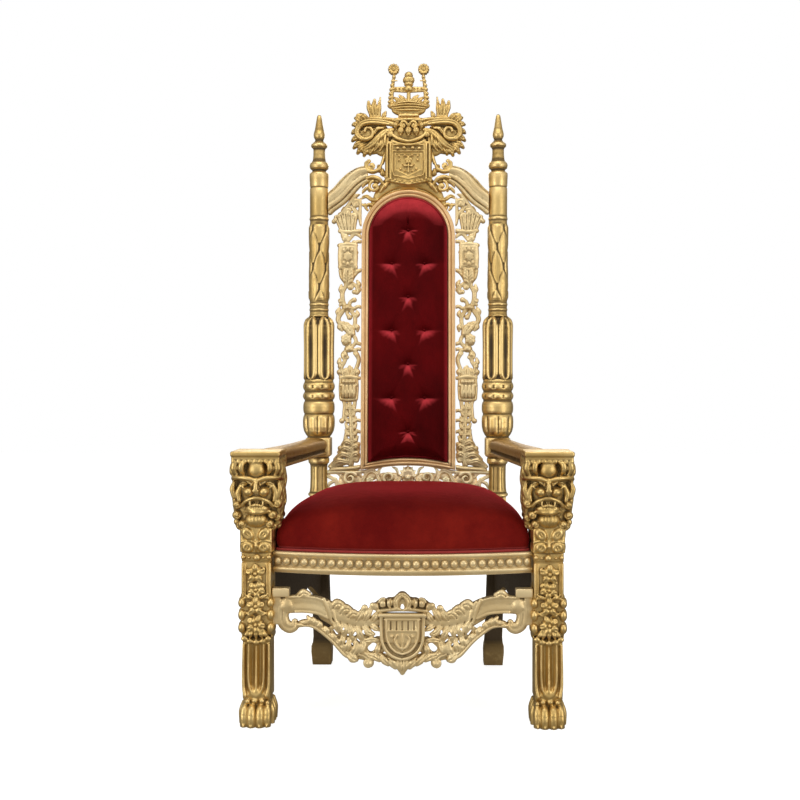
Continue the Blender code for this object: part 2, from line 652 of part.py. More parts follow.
def crest(tilt):
    """Shield under a leaf fan, between acanthus lobes with upright plumes."""
    carving = Carving()
    carving.block((-CREST_BASE_HALF, -0.020, 1.486), (CREST_BASE_HALF, 0.022, 1.540))
    carving.block((-0.0725, -0.030, 1.496), (0.0725, 0.020, 1.603))
    carving.ball((0, -0.008, 1.500), (0.064, 0.022, 0.034))
    carving.block((-0.045, -0.036, 1.510), (0.045, 0.0, 1.594))
    carving.ball((0, -0.006, 1.642), (0.054, 0.026, 0.030))
    carving.block((-0.060, -0.016, 1.600), (0.060, 0.018, 1.665))
    carving.block((-0.046, -0.018, 1.640), (0.046, 0.018, CROWN_LOW - 0.004))
    for side in (-1, 1):
        lobe = [
            (0.060, 1.610), (0.080, 1.664), (0.126, 1.678), (0.160, 1.650), (0.158, 1.604), (0.124, 1.584),
        ]
        carving.flat_rod(lobe, 0.022, 0.018, sides=(side,))
        carving.ball((side * 0.112, 0, 1.624), (0.056, 0.024, 0.048))
        carving.ball((side * 0.154, 0, 1.588), (0.024, 0.020, 0.024))
        carving.ball((side * 0.074, -0.004, 1.590), (0.020, 0.022, 0.032))
        carving.ball((side * 0.108, -0.008, 1.540), (0.019, 0.020, 0.020))
        for base, top in ((0.090, 1.744), (0.103, 1.762), (0.120, 1.750)):
            plume = [(base, 1.668), (base, 1.710), (base + 0.006, top)]
            carving.flat_rod(plume, 0.0145, 0.006, sides=(side,))
        carving.flat_rod([(0.150, 1.660), (0.166, 1.668), (0.180, 1.660)], 0.012, 0.006, sides=(side,))
    solid = carving.mesh(0.0040, 900)
    low = PAD_SPRING + PAD_HALF + FRAME_WIDTH + JOIN
    place("crest", trimmed(solid, (-1, -1, low), (1, 1, 2)), GOLD, parent=tilt)


def crown(tilt):
    """Open crown: a boat-shaped body, two beaded staffs with rosettes and a flame in the middle."""
    carving = Carving()
    carving.block((-0.040, -0.016, CROWN_LOW - 0.002), (0.040, 0.016, 1.720))
    carving.ball((0, 0, 1.730), (0.069, 0.022, 0.019))
    carving.flat_rod([(-0.050, 1.784), (0.0, 1.792), (0.050, 1.784)], 0.0065, 0.0065)
    carving.flat_rod([(0.0, 1.730), (0.0, 1.815)], 0.010, 0.007)
    carving.ball((0, 0, 1.826), (0.016, 0.014, 0.019))
    for side in (-1, 1):
        carving.flat_rod([(0.060, 1.735), (0.053, 1.785), (0.0475, 1.850)], 0.0065, 0.0055, sides=(side,))
        for bead in range(5):
            z = 1.756 + 0.018 * bead
            carving.ball((side * (0.0575 - 0.0018 * bead), 0, z), (0.0088, 0.0088, 0.0078))
        carving.ball((side * 0.0475, 0, 1.8555), (0.0172, 0.0110, 0.0172))
    solid = trimmed(carving.mesh(0.0030, 410), (-1, -1, CROWN_LOW), (1, 1, 2))
    place("crown", solid, GOLD, parent=tilt)


def front_apron():
    """Scroll arms with acanthus leaves, running down to a shield under a flower cresting."""
    carving = Carving()
    carving.block((-0.056, -0.014, 0.170), (0.056, 0.014, 0.280))
    carving.ball((0, 0, 0.170), (0.050, 0.014, 0.052))
    carving.block((-0.038, -0.019, 0.180), (0.038, 0.0, 0.268))
    for index in range(-3, 4):
        carving.ball((index * 0.024, 0, 0.304 - 0.0018 * index * index), (0.015, 0.012, 0.018))
    carving.flat_rod([(-0.070, 0.284), (0.070, 0.284)], 0.010, 0.010)
    for side in (-1, 1):
        low, high = sorted((side * 0.284, side * 0.330))
        carving.block((low, -0.013, 0.250), (high, 0.013, 0.340))
        carving.ball((side * 0.277, 0, 0.249), (0.026, 0.015, 0.026))
        arm = [
            (0.300, 0.304), (0.245, 0.302), (0.200, 0.296), (0.155, 0.268), (0.110, 0.250), (0.050, 0.240),
        ]
        carving.flat_rod(arm, 0.021, 0.018, sides=(side,))
        ribbon = [
            (0.250, 0.262), (0.222, 0.250), (0.180, 0.212), (0.135, 0.165), (0.100, 0.150), (0.040, 0.150),
        ]
        carving.flat_rod(ribbon, 0.009, 0.008, sides=(side,))
        carving.ball((side * 0.076, 0, 0.152), (0.014, 0.010, 0.013), side * 0.5)
        carving.flat_rod([(0.188, 0.285), (0.180, 0.250), (0.168, 0.204)], 0.008, 0.008, sides=(side,))
        carving.flat_rod([(0.150, 0.262), (0.128, 0.226), (0.134, 0.172)], 0.009, 0.010, sides=(side,))
        carving.flat_rod([(0.134, 0.210), (0.104, 0.196), (0.092, 0.156)], 0.011, 0.009, sides=(side,))
        carving.flat_rod([(0.100, 0.244), (0.088, 0.214), (0.056, 0.204)], 0.009, 0.007, sides=(side,))
        for leaf in range(4):
            x = 0.170 - 0.026 * leaf
            carving.ball((side * x, 0, 0.288 - 0.012 * leaf), (0.014, 0.010, 0.018), side * -0.7)
    solid = carving.mesh(0.0034, 850)
    mesh = trimmed(solid, (-APRON_END, -1, 0), (APRON_END, 1, 1))
    place("front_apron", mesh, PALE_GOLD, (0, APRON_Y, 0))


clear_scene()
throne = bpy.data.collections.new("throne")
bpy.context.scene.collection.children.link(throne)

back_tilt = bpy.data.objects.new("back_tilt", None)
back_tilt.rotation_euler = (-RAKE, 0, 0)
pivot = Vector((0, POST_Y, RAIL_TOP))
back_tilt.location = pivot - Euler((-RAKE, 0, 0)).to_matrix() @ Vector((0, 0, RAIL_TOP))
throne.objects.link(back_tilt)

front_legs()
arms()
back_post("back_post_left", -1)
back_post("back_post_right", 1)
front_rail()
seat_rails()
side_aprons()
front_apron()
seat_cushion()
back_frame(back_tilt)
back_pad(back_tilt)
filigree("filigree_left", -1, back_tilt)
filigree("filigree_right", 1, back_tilt)
lower_tracery(back_tilt)
yokes(back_tilt)
crest(back_tilt)
crown(back_tilt)
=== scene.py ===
"""Looks of the carved and gilded throne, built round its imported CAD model.

Carved pieces are worked in blocks of signed distances: lumps, tapering strokes and leaves are
added softly, lines are pressed in, and the surface is then drawn out as a mesh.
"""

import math

import bmesh
import bpy
import numpy as np
from mathutils import Matrix, Vector


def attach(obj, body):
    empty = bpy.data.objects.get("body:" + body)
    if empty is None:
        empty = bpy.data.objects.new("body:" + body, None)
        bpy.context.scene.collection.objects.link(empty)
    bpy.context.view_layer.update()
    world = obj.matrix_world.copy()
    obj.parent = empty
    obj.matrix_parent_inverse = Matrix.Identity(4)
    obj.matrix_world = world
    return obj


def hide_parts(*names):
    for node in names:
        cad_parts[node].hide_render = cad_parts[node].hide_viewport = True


FAR = .05  # the distance written where there is no clay nearby
SPARE = 2.5  # samples past a lump's own box that it is still worked out for
EDGE_MOST, HOLLOW_MOST = -.8, .5  # of the "hollow" attribute; from .6 it means painted shade, a near-black brown, at most .8
SCALE = 1.0  # coarser blocks while trying things


def metres(text):
    """The numbers of a text, which are millimetres to the hundredth, in metres."""
    return [round(float(word) * 100) / 100000 for word in text.split()]


def drawn(text, side=1, y=None):
    """Points from a text in millimetres, "x z, x z" or "x y z, x y z".

    Side -1 mirrors them left to right; y, in metres, is set between the x and z of each.
    """
    points = []
    for place in text.split(","):
        x, *rest = metres(place)
        points.append((side * x, *rest) if y is None else (side * x, y, *rest))
    return points


def smooth_min(a, b, soft):
    """The smaller of two fields, rounded where they are within soft of each other."""
    if soft <= 0:
        return np.minimum(a, b)
    near = np.maximum(soft - np.abs(a - b), 0.0) / soft
    return np.minimum(a, b) - near * near * (soft * .25)


def curve_through(points, steps):
    """A smooth line through the points, with the given number of steps between each two."""
    knots = np.array(points, float)
    if len(knots) == 2:
        share = np.linspace(0, 1, 2)[:, None]
        return knots[0] * (1 - share) + knots[1] * share
    padded = np.vstack([2 * knots[0] - knots[1], knots, 2 * knots[-1] - knots[-2]])
    out = []
    for index in range(len(knots) - 1):
        p0, p1, p2, p3 = padded[index:index + 4]
        for step in range(steps):
            t = step / steps
            out.append(.5
                       * (2 * p1 + (p2 - p0) * t + (2 * p0 - 5 * p1 + 4 * p2 - p3) * t * t
                          + (3 * p1 - p0 - 3 * p2 + p3) * t ** 3))
    out.append(knots[-1])
    return np.array(out)


def spread(values, count):
    """Widths given at a few places, as numbers or a text in millimetres, spread evenly over count places."""
    values = np.atleast_1d(metres(values) if isinstance(values, str) else values)
    return np.interp(np.linspace(0, 1, count), np.linspace(0, 1, len(values)), values)


def blurred(field, reach):
    """Box average over 2 * reach + 1 samples along each axis."""
    for axis in range(3):
        padded = np.pad(field, [(reach + 1, reach) if a == axis else (0, 0) for a in range(3)], "edge")
        total = np.cumsum(padded, axis=axis, dtype=np.float32)
        size = 2 * reach + 1
        upper = np.take(total, range(size, total.shape[axis]), axis=axis)
        lower = np.take(total, range(0, total.shape[axis] - size), axis=axis)
        field = (upper - lower) / size
    return field


class Clay:
    """A block of signed distances in metres; the surface is where they are zero."""

    def __init__(self, low, high, step):
        self.step = step * SCALE
        self.low = np.array(low, float) - 3 * self.step
        self.count = np.ceil((np.array(high) - self.low) / self.step).astype(int) + 4
        self.field = np.full(self.count, FAR, np.float32)

    def window(self, low, high):
        """Slices that cover a box, and the coordinates of its samples ready to broadcast."""
        spans, grids = [], []
        for axis in range(3):
            first = max(0, int((low[axis] - self.low[axis]) / self.step))
            last = min(int(self.count[axis]), int((high[axis] - self.low[axis]) / self.step) + 2)
            if last <= first:
                return None, None
            line = self.low[axis] + self.step * np.arange(first, last)
            spans.append(slice(first, last))
            grids.append(line.astype(np.float32).reshape([-1 if a == axis else 1 for a in range(3)]))
        return tuple(spans), grids

    def merge(self, spans, distance, soft, cut):
        old = self.field[spans]
        if cut:
            self.field[spans] = -smooth_min(-old, distance, soft)
        else:
            self.field[spans] = smooth_min(old, distance, soft)

    def ball(self, centre, radii, turn=0.0, soft=.003, cut=False):
        """An ellipsoid, turned in the upright plane by the given angle (clockwise from the front)."""
        centre, radii = np.array(centre, float), np.array(radii, float)
        reach = radii.copy()
        if turn:
            reach[0] = reach[2] = max(radii[0], radii[2])
        margin = soft + SPARE * self.step
        spans, grids = self.window(centre - reach - margin, centre + reach + margin)
        if spans is None:
            return
        x, y, z = (grid - middle for grid, middle in zip(grids, centre))
        across = x * math.cos(turn) - z * math.sin(turn)
        up = x * math.sin(turn) + z * math.cos(turn)
        k0 = np.sqrt((across / radii[0]) ** 2 + (y / radii[1]) ** 2 + (up / radii[2]) ** 2)
        k1 = np.sqrt((across / radii[0] ** 2) ** 2 + (y / radii[1] ** 2) ** 2 + (up / radii[2] ** 2) ** 2)
        self.merge(spans, k0 * (k0 - 1) / np.maximum(k1, 1e-6), soft, cut)

    def block(self, low, high, edge=.002, soft=.002, cut=False):
        """A box with rounded edges."""
        low, high = np.array(low, float), np.array(high, float)
        margin = soft + SPARE * self.step
        spans, grids = self.window(low - margin, high + margin)
        if spans is None:
            return
        middle, half = (low + high) / 2, (high - low) / 2 - edge
        gaps = [np.abs(grid - middle[axis]) - half[axis] for axis, grid in enumerate(grids)]
        outside = np.sqrt(sum(np.maximum(gap, 0) ** 2 for gap in gaps))
        inside = np.minimum(np.maximum(np.maximum(gaps[0], gaps[1]), gaps[2]), 0)
        self.merge(spans, outside + inside - edge, soft, cut)

    def stroke(self, points, radii, soft=.002, flat=1.0, cut=False, steps=4):
        """A tapering rod through (x, y, z) points; flat is its depth over its width."""
        path = curve_through(points, steps)
        widths = spread(radii, len(path))
        margin = soft + SPARE * self.step
        thick = widths.max() * max(1.0, flat) + margin
        spans, grids = self.window(path.min(0) - thick, path.max(0) + thick)
        if spans is None:
            return
        distance = np.full([s.stop - s.start for s in spans], FAR, np.float32)
        for start, end, r0, r1 in zip(path, path[1:], widths, widths[1:]):
            reach = max(r0, r1) * max(1.0, flat) + margin
            near, grids = self.window(np.minimum(start, end) - reach, np.maximum(start, end) + reach)
            if near is None:
                continue
            x, y, z = grids
            run = end - start
            length = max(float(run[0] ** 2 + (run[1] / flat) ** 2 + run[2] ** 2), 1e-12)
            dx, dy, dz = x - start[0], (y - start[1]) / flat, z - start[2]
            share = np.clip((dx * run[0] + dy * (run[1] / flat) + dz * run[2]) / length, 0, 1)
            gap = np.sqrt((dx - share * run[0]) ** 2 + (dy - share * (run[1] / flat)) ** 2
                          + (dz - share * run[2]) ** 2) - (r0 + (r1 - r0) * share)
            inner = tuple(slice(n.start - s.start, n.stop - s.start) for n, s in zip(near, spans))
            distance[inner] = np.minimum(distance[inner], gap)
        self.merge(spans, distance * min(1.0, flat), soft, cut)

    def press(self, points, width, depth, y=(-1.0, 0.0), steps=4):
        """Pushes the surface in by depth along a line of (x, z) points; a negative depth raises it."""
        path = curve_through(points, steps)
        widths = spread(width, len(path))
        reach = widths.max() + self.step
        low, high = path.min(0) - reach, path.max(0) + reach
        spans, grids = self.window((low[0], y[0], low[1]), (high[0], y[1], high[1]))
        if spans is None:
            return
        x, z = grids[0], grids[2]
        share_left = np.full(np.broadcast(x, z).shape, 9.0, np.float32)
        for start, end, w0, w1 in zip(path, path[1:], widths, widths[1:]):
            run = end - start
            length = max(float(run @ run), 1e-12)
            t = np.clip(((x - start[0]) * run[0] + (z - start[1]) * run[1]) / length, 0, 1)
            gap = np.sqrt((x - start[0] - t * run[0]) ** 2 + (z - start[1] - t * run[1]) ** 2)
            share_left = np.minimum(share_left, gap / (w0 + (w1 - w0) * t))
        fall = np.clip(1 - share_left, 0, 1)
        self.field[spans] += depth * fall * fall * (3 - 2 * fall)

    def press_side(self, points, width, depth, x):
        """The same on a side face, along a line of (y, z) points, for x in the given range."""
        path = curve_through(points, 1)
        spans, grids = self.window((x[0], path[:, 0].min() - width, path[:, 1].min() - width),
                                   (x[1], path[:, 0].max() + width, path[:, 1].max() + width))
        if spans is None:
            return
        gap = np.full(np.broadcast(grids[1], grids[2]).shape, 9.0, np.float32)
        for start, end in zip(path, path[1:]):
            run = end - start
            y, z = grids[1] - start[0], grids[2] - start[1]
            t = np.clip((y * run[0] + z * run[1]) / max(float(run @ run), 1e-12), 0, 1)
            gap = np.minimum(gap, np.sqrt((y - t * run[0]) ** 2 + (z - t * run[1]) ** 2))
        fall = np.clip(1 - gap / width, 0, 1)
        self.field[spans] += depth * fall * fall * (3 - 2 * fall)

    def dent(self, centre, radii, depth, turn=0.0, y=(-1.0, 0.0)):
        """Pushes in an oval place of the surface; a negative depth swells it."""
        reach = max(radii) + self.step
        spans, grids = self.window((centre[0] - reach, y[0], centre[1] - reach),
                                   (centre[0] + reach, y[1], centre[1] + reach))
        if spans is None:
            return
        x, z = grids[0] - centre[0], grids[2] - centre[1]
        across = x * math.cos(turn) - z * math.sin(turn)
        up = x * math.sin(turn) + z * math.cos(turn)
        fall = np.clip(1 - np.sqrt((across / radii[0]) ** 2 + (up / radii[1]) ** 2), 0, 1)
        self.field[spans] += depth * fall * fall * (3 - 2 * fall)

    def line(self, axis):
        """Where the samples are along an axis."""
        return self.low[axis] + self.step * np.arange(self.count[axis])

    def arch_cut(self, centre, radius):
        """Clears a round opening that runs through from front to back."""
        x, z = self.line(0) - centre[0], self.line(2) - centre[1]
        inside = (radius - np.hypot(x[:, None, None], z[None, None, :])).astype(np.float32)
        np.maximum(self.field, inside, out=self.field)

    def trim(self, low, high):
        """Cuts away what lies outside the box."""
        for axis in range(3):
            line = self.line(axis)
            beyond = np.maximum(low[axis] - line, line - high[axis]).astype(np.float32)
            np.maximum(self.field, beyond.reshape([-1 if a == axis else 1 for a in range(3)]), out=self.field)

    def hollows(self):
        """How far each place is down in a hollow (above 0) or out on an edge (below 0)."""
        solid = np.clip(.5 - self.field / (2 * self.step), 0, 1)
        fine = max(1, round(.0034 / self.step))
        wide = max(2, round(.01 / self.step))
        return blurred(solid, fine) * 1.1 + blurred(solid, wide) * .9 - 1.0

    def surface(self):
        """Corner points and quads of the surface, by surface nets."""
        field = self.field
        for axis in range(3):
            edge = [slice(None)] * 3
            for place in (0, -1):
                edge[axis] = place
                field[tuple(edge)] = np.maximum(field[tuple(edge)], self.step)
        inside = field < 0
        total = np.zeros(np.array(field.shape) - 1, np.int8)
        for corner in np.ndindex(2, 2, 2):
            total += inside[tuple(slice(c, n - 1 + c) for c, n in zip(corner, field.shape))]
        cells = np.argwhere((total > 0) & (total < 8))
        index = np.full(total.shape, -1, np.int64)
        index[tuple(cells.T)] = np.arange(len(cells))
        corners = np.array(list(np.ndindex(2, 2, 2)))
        values = np.stack([field[tuple((cells + c).T)] for c in corners], 1)
        place = np.zeros((len(cells), 3))
        hits = np.zeros(len(cells))
        for a in range(8):
            for b in range(a + 1, 8):
                if np.abs(corners[a] - corners[b]).sum() != 1:
                    continue
                crossing = (values[:, a] < 0) != (values[:, b] < 0)
                gap = values[:, a] - values[:, b]
                share = np.where(crossing, values[:, a] / np.where(crossing, gap, 1), 0)
                place += crossing[:, None] * (corners[a] + share[:, None] * (corners[b] - corners[a]))
                hits += crossing
        points = self.low + self.step * (cells + place / hits[:, None])
        quads = []
        for axis in range(3):
            u, v = (axis + 1) % 3, (axis + 2) % 3
            near = [slice(1, n - 1) for n in field.shape]
            near[axis] = slice(0, field.shape[axis] - 1)
            far = list(near)
            far[axis] = slice(1, field.shape[axis])
            first, second = inside[tuple(near)], inside[tuple(far)]
            offset = np.ones(3, int)
            offset[axis] = 0
            for flip in (False, True):
                edges = np.argwhere(first & ~second if flip else ~first & second) + offset
                ring = []
                for du, dv in ((0, 0), (-1, 0), (-1, -1), (0, -1)):
                    cell = edges.copy()
                    cell[:, u] += du
                    cell[:, v] += dv
                    ring.append(index[tuple(cell.T)])
                ring = np.stack(ring, 1)
                quads.append(ring if flip else ring[:, ::-1])
        return points, np.vstack(quads)


def mesh_from(points, faces, name="made"):
    """A smooth-shaded mesh from point and face arrays, the faces all with as many corners."""
    points, faces = np.asarray(points, np.float32), np.asarray(faces, np.int32)
    mesh = bpy.data.meshes.new(name)
    mesh.vertices.add(len(points))
    mesh.vertices.foreach_set("co", points.ravel())
    mesh.loops.add(faces.size)
    mesh.loops.foreach_set("vertex_index", faces.ravel())
    mesh.polygons.add(len(faces))
    mesh.polygons.foreach_set("loop_start", np.arange(0, faces.size, faces.shape[1], dtype=np.int32))
    mesh.update(calc_edges=True)
    mesh.shade_smooth()
    return mesh


def coordinates(mesh):
    co = np.empty(len(mesh.vertices) * 3, np.float32)
    mesh.vertices.foreach_get("co", co)
    return co.reshape(-1, 3)


def normals_of(mesh):
    normals = np.empty(len(mesh.vertices) * 3, np.float32)
    mesh.vertices.foreach_get("normal", normals)
    return normals.reshape(-1, 3)


def hollows_of(mesh):
    values = np.empty(len(mesh.vertices), np.float32)
    mesh.attributes["hollow"].data.foreach_get("value", values)
    return values


def set_hollow(mesh, values):
    layer = mesh.attributes.get("hollow") or mesh.attributes.new("hollow", "FLOAT", "POINT")
    layer.data.foreach_set("value", np.asarray(values, np.float32))


def applied(item):
    """The object's mesh with its modifiers worked in, put back on the object."""
    bpy.context.view_layer.update()
    graph = bpy.context.evaluated_depsgraph_get()
    mesh = bpy.data.meshes.new_from_object(item.evaluated_get(graph))
    item.modifiers.clear()
    item.data = mesh
    return mesh


def fired(clay, keep=1.0, bias=0.0):
    """The clay's surface as a mesh, thinned to a share of its triangles, with its hollows noted."""
    points, quads = clay.surface()
    mesh = mesh_from(points, quads)
    item = bpy.data.objects.new("firing", mesh)
    bpy.context.scene.collection.objects.link(item)
    soften = item.modifiers.new("soften", "SMOOTH")
    soften.factor = .35
    soften.iterations = 1
    if keep < 1:
        thin = item.modifiers.new("thin", "DECIMATE")
        thin.ratio = keep
    mesh = applied(item)
    bpy.data.objects.remove(item)
    mesh.shade_smooth()
    where = np.rint((coordinates(mesh) - clay.low) / clay.step).astype(int)
    where = np.clip(where, 0, clay.count - 1)
    set_hollow(mesh, np.minimum(clay.hollows()[tuple(where.T)] + bias, HOLLOW_MOST))
    return mesh


def note_hollows(mesh, gain, passes=4, bias=0.0):
    """Writes the hollow attribute from how far each point lies under the average of its surroundings."""
    points = coordinates(mesh)
    pairs = np.empty(len(mesh.edges) * 2, np.int32)
    mesh.edges.foreach_get("vertices", pairs)
    first, second = pairs[0::2], pairs[1::2]
    share = 1.0 / (1 + np.bincount(pairs, minlength=len(points)))
    level = points.astype(np.float64)
    for _ in range(passes):
        total = level.copy()
        for axis in range(3):
            total[:, axis] += np.bincount(first, level[second, axis], len(points))
            total[:, axis] += np.bincount(second, level[first, axis], len(points))
        level = total * share[:, None]
    depth = ((level - points) * normals_of(mesh)).sum(1)
    set_hollow(mesh, np.clip(np.clip(depth * gain, EDGE_MOST, HOLLOW_MOST) + bias, -.8, .8))


def joined(meshes):
    """One mesh from several."""
    together = bmesh.new()
    for mesh in meshes:
        together.from_mesh(mesh)
    whole = bpy.data.meshes.new("joined")
    together.to_mesh(whole)
    together.free()
    whole.shade_smooth()
    return whole


def lofted(rings, caps=True):
    """A skin over rings of points, all with the same number of points and listed the same way round."""
    rings = np.asarray(rings, float)
    levels, around = rings.shape[:2]
    index = np.arange(levels * around).reshape(levels, around)
    following = np.roll(index, -1, 1)
    faces = np.stack([index[:-1], following[:-1], following[1:], index[1:]], -1).reshape(-1, 4)
    points = rings.reshape(-1, 3)
    if not caps:
        return mesh_from(points, faces)
    bm = bmesh.new()
    bm.from_mesh(mesh_from(points, faces))
    bm.verts.ensure_lookup_table()
    for ring in (index[0][::-1], index[-1]):
        bm.faces.new([bm.verts[i] for i in ring])
    mesh = bpy.data.meshes.new("lofted")
    bm.to_mesh(mesh)
    bm.free()
    mesh.shade_smooth()
    return mesh


def cleaned(mesh, weld=0.0):
    """The mesh smooth-shaded, its faces turned outward and points within the weld distance joined."""
    bm = bmesh.new()
    bm.from_mesh(mesh)
    if weld:
        bmesh.ops.remove_doubles(bm, verts=bm.verts, dist=weld)
    bmesh.ops.recalc_face_normals(bm, faces=bm.faces)
    bm.to_mesh(mesh)
    bm.free()
    mesh.shade_smooth()
    return mesh


def tidied(mesh, gain, passes, weld=0.0):
    """The same, with its hollows noted."""
    note_hollows(cleaned(mesh, weld), gain, passes)
    return mesh


def moved(mesh, matrix):
    """A copy of the mesh, still facing outward after a mirroring."""
    mesh = mesh.copy()
    mesh.transform(matrix)
    if matrix.determinant() < 0:
        mesh.flip_normals()
    return mesh


def rosette(clay, x, y, z, radius, petals=6, depth=.5, turn=0.0):
    """A flower seen from the front: pinched petals round a bead."""
    clay.ball((x, y, z), (radius * .8, radius * depth * .7, radius * .8), soft=.002)
    for index in range(petals):
        angle = turn + math.tau * index / petals
        px, pz = x + math.sin(angle) * radius * .62, z + math.cos(angle) * radius * .62
        clay.ball((px, y - radius * depth * .35, pz), (radius * .33, radius * depth * .55, radius * .42),
                  turn=angle, soft=.001)
        clay.dent((x + math.sin(angle) * radius * .78, z + math.cos(angle) * radius * .78),
                  (radius * .18, radius * .3), radius * .14, turn=angle)
    clay.ball((x, y - radius * depth * .2, z), (radius * .3, radius * depth, radius * .3), soft=0.0, cut=True)
    clay.ball((x, y - radius * depth * .25, z), (radius * .24, radius * depth * .8, radius * .24), soft=.001)


def leaf(clay, points, width, lobes=4, reach=1.0, depth=.7, sides=(-1, 1), y=0.0, rise=.004):
    """An acanthus leaf along (x, z) points from stalk to tip: broad overlapping lobes off a ribbed blade."""
    path = curve_through(points, 6)
    steps = np.diff(path, axis=0)
    along = np.concatenate([[0], np.cumsum(np.hypot(steps[:, 0], steps[:, 1]))])
    whole = along[-1]

    def at(share):
        return np.array([np.interp(share * whole, along, path[:, axis]) for axis in (0, 1)])

    blade = [(*at(share), share) for share in np.linspace(0, 1, 6)]
    clay.stroke([(x, y - rise * math.sin(math.pi * s * .8), z) for x, z, s in blade],
                [width * .34, width * .46, width * .4, width * .14], soft=.0015, flat=depth * .62)
    for index in range(lobes):
        share = .14 + .7 * index / max(1, lobes - 1)
        root = at(share)
        heading = at(min(1, share + .06)) - at(max(0, share - .06))
        heading /= max(np.hypot(*heading), 1e-9)
        swell = width * reach * math.sin(math.pi * (.24 + .58 * share)) ** .8
        lift = y - rise * math.sin(math.pi * share * .8)
        for side in sides:
            normal = np.array([heading[1], -heading[0]]) * side
            bend = root + (normal * .52 + heading * .2) * swell
            tip = root + (normal * .88 + heading * .62) * swell
            clay.stroke([(root[0], lift, root[1]), (bend[0], lift - rise * .6, bend[1]),
                         (tip[0], lift + rise * .3, tip[1])], [width * .2, width * .27, width * .1], soft=.0012,
                        flat=depth, steps=3)
            clay.press([tuple(root + (normal * .1) * swell),
                        tuple(root + (normal * .66 + heading * .36) * swell)], width * .1, width * .085,
                       y=(-1, y))
    clay.press([tuple(at(share)) for share in (.02, .3, .6, .92)], [width * .12, width * .07], width * .13,
               y=(-1, y))


def scroll(clay, centre, radius, turns, start, thick, y=0.0, way=1, flat=.8, eye=1.0):
    """A spiral that winds in to an eye; start is the angle of its open end from the right-hand side."""
    points = []
    count = int(14 * turns) + 2
    for index in range(count):
        share = index / (count - 1)
        angle = start + way * math.tau * turns * share
        arm = radius * (1 - .8 * share)
        points.append((centre[0] + arm * math.cos(angle), y - thick * .5 * share,
                       centre[1] + arm * math.sin(angle)))
    clay.stroke(points, [thick, thick * .75], soft=.0008, flat=flat, steps=2)
    if eye:
        clay.ball((centre[0], y - thick * .5, centre[1]), (thick * eye, thick * eye * flat, thick * eye))


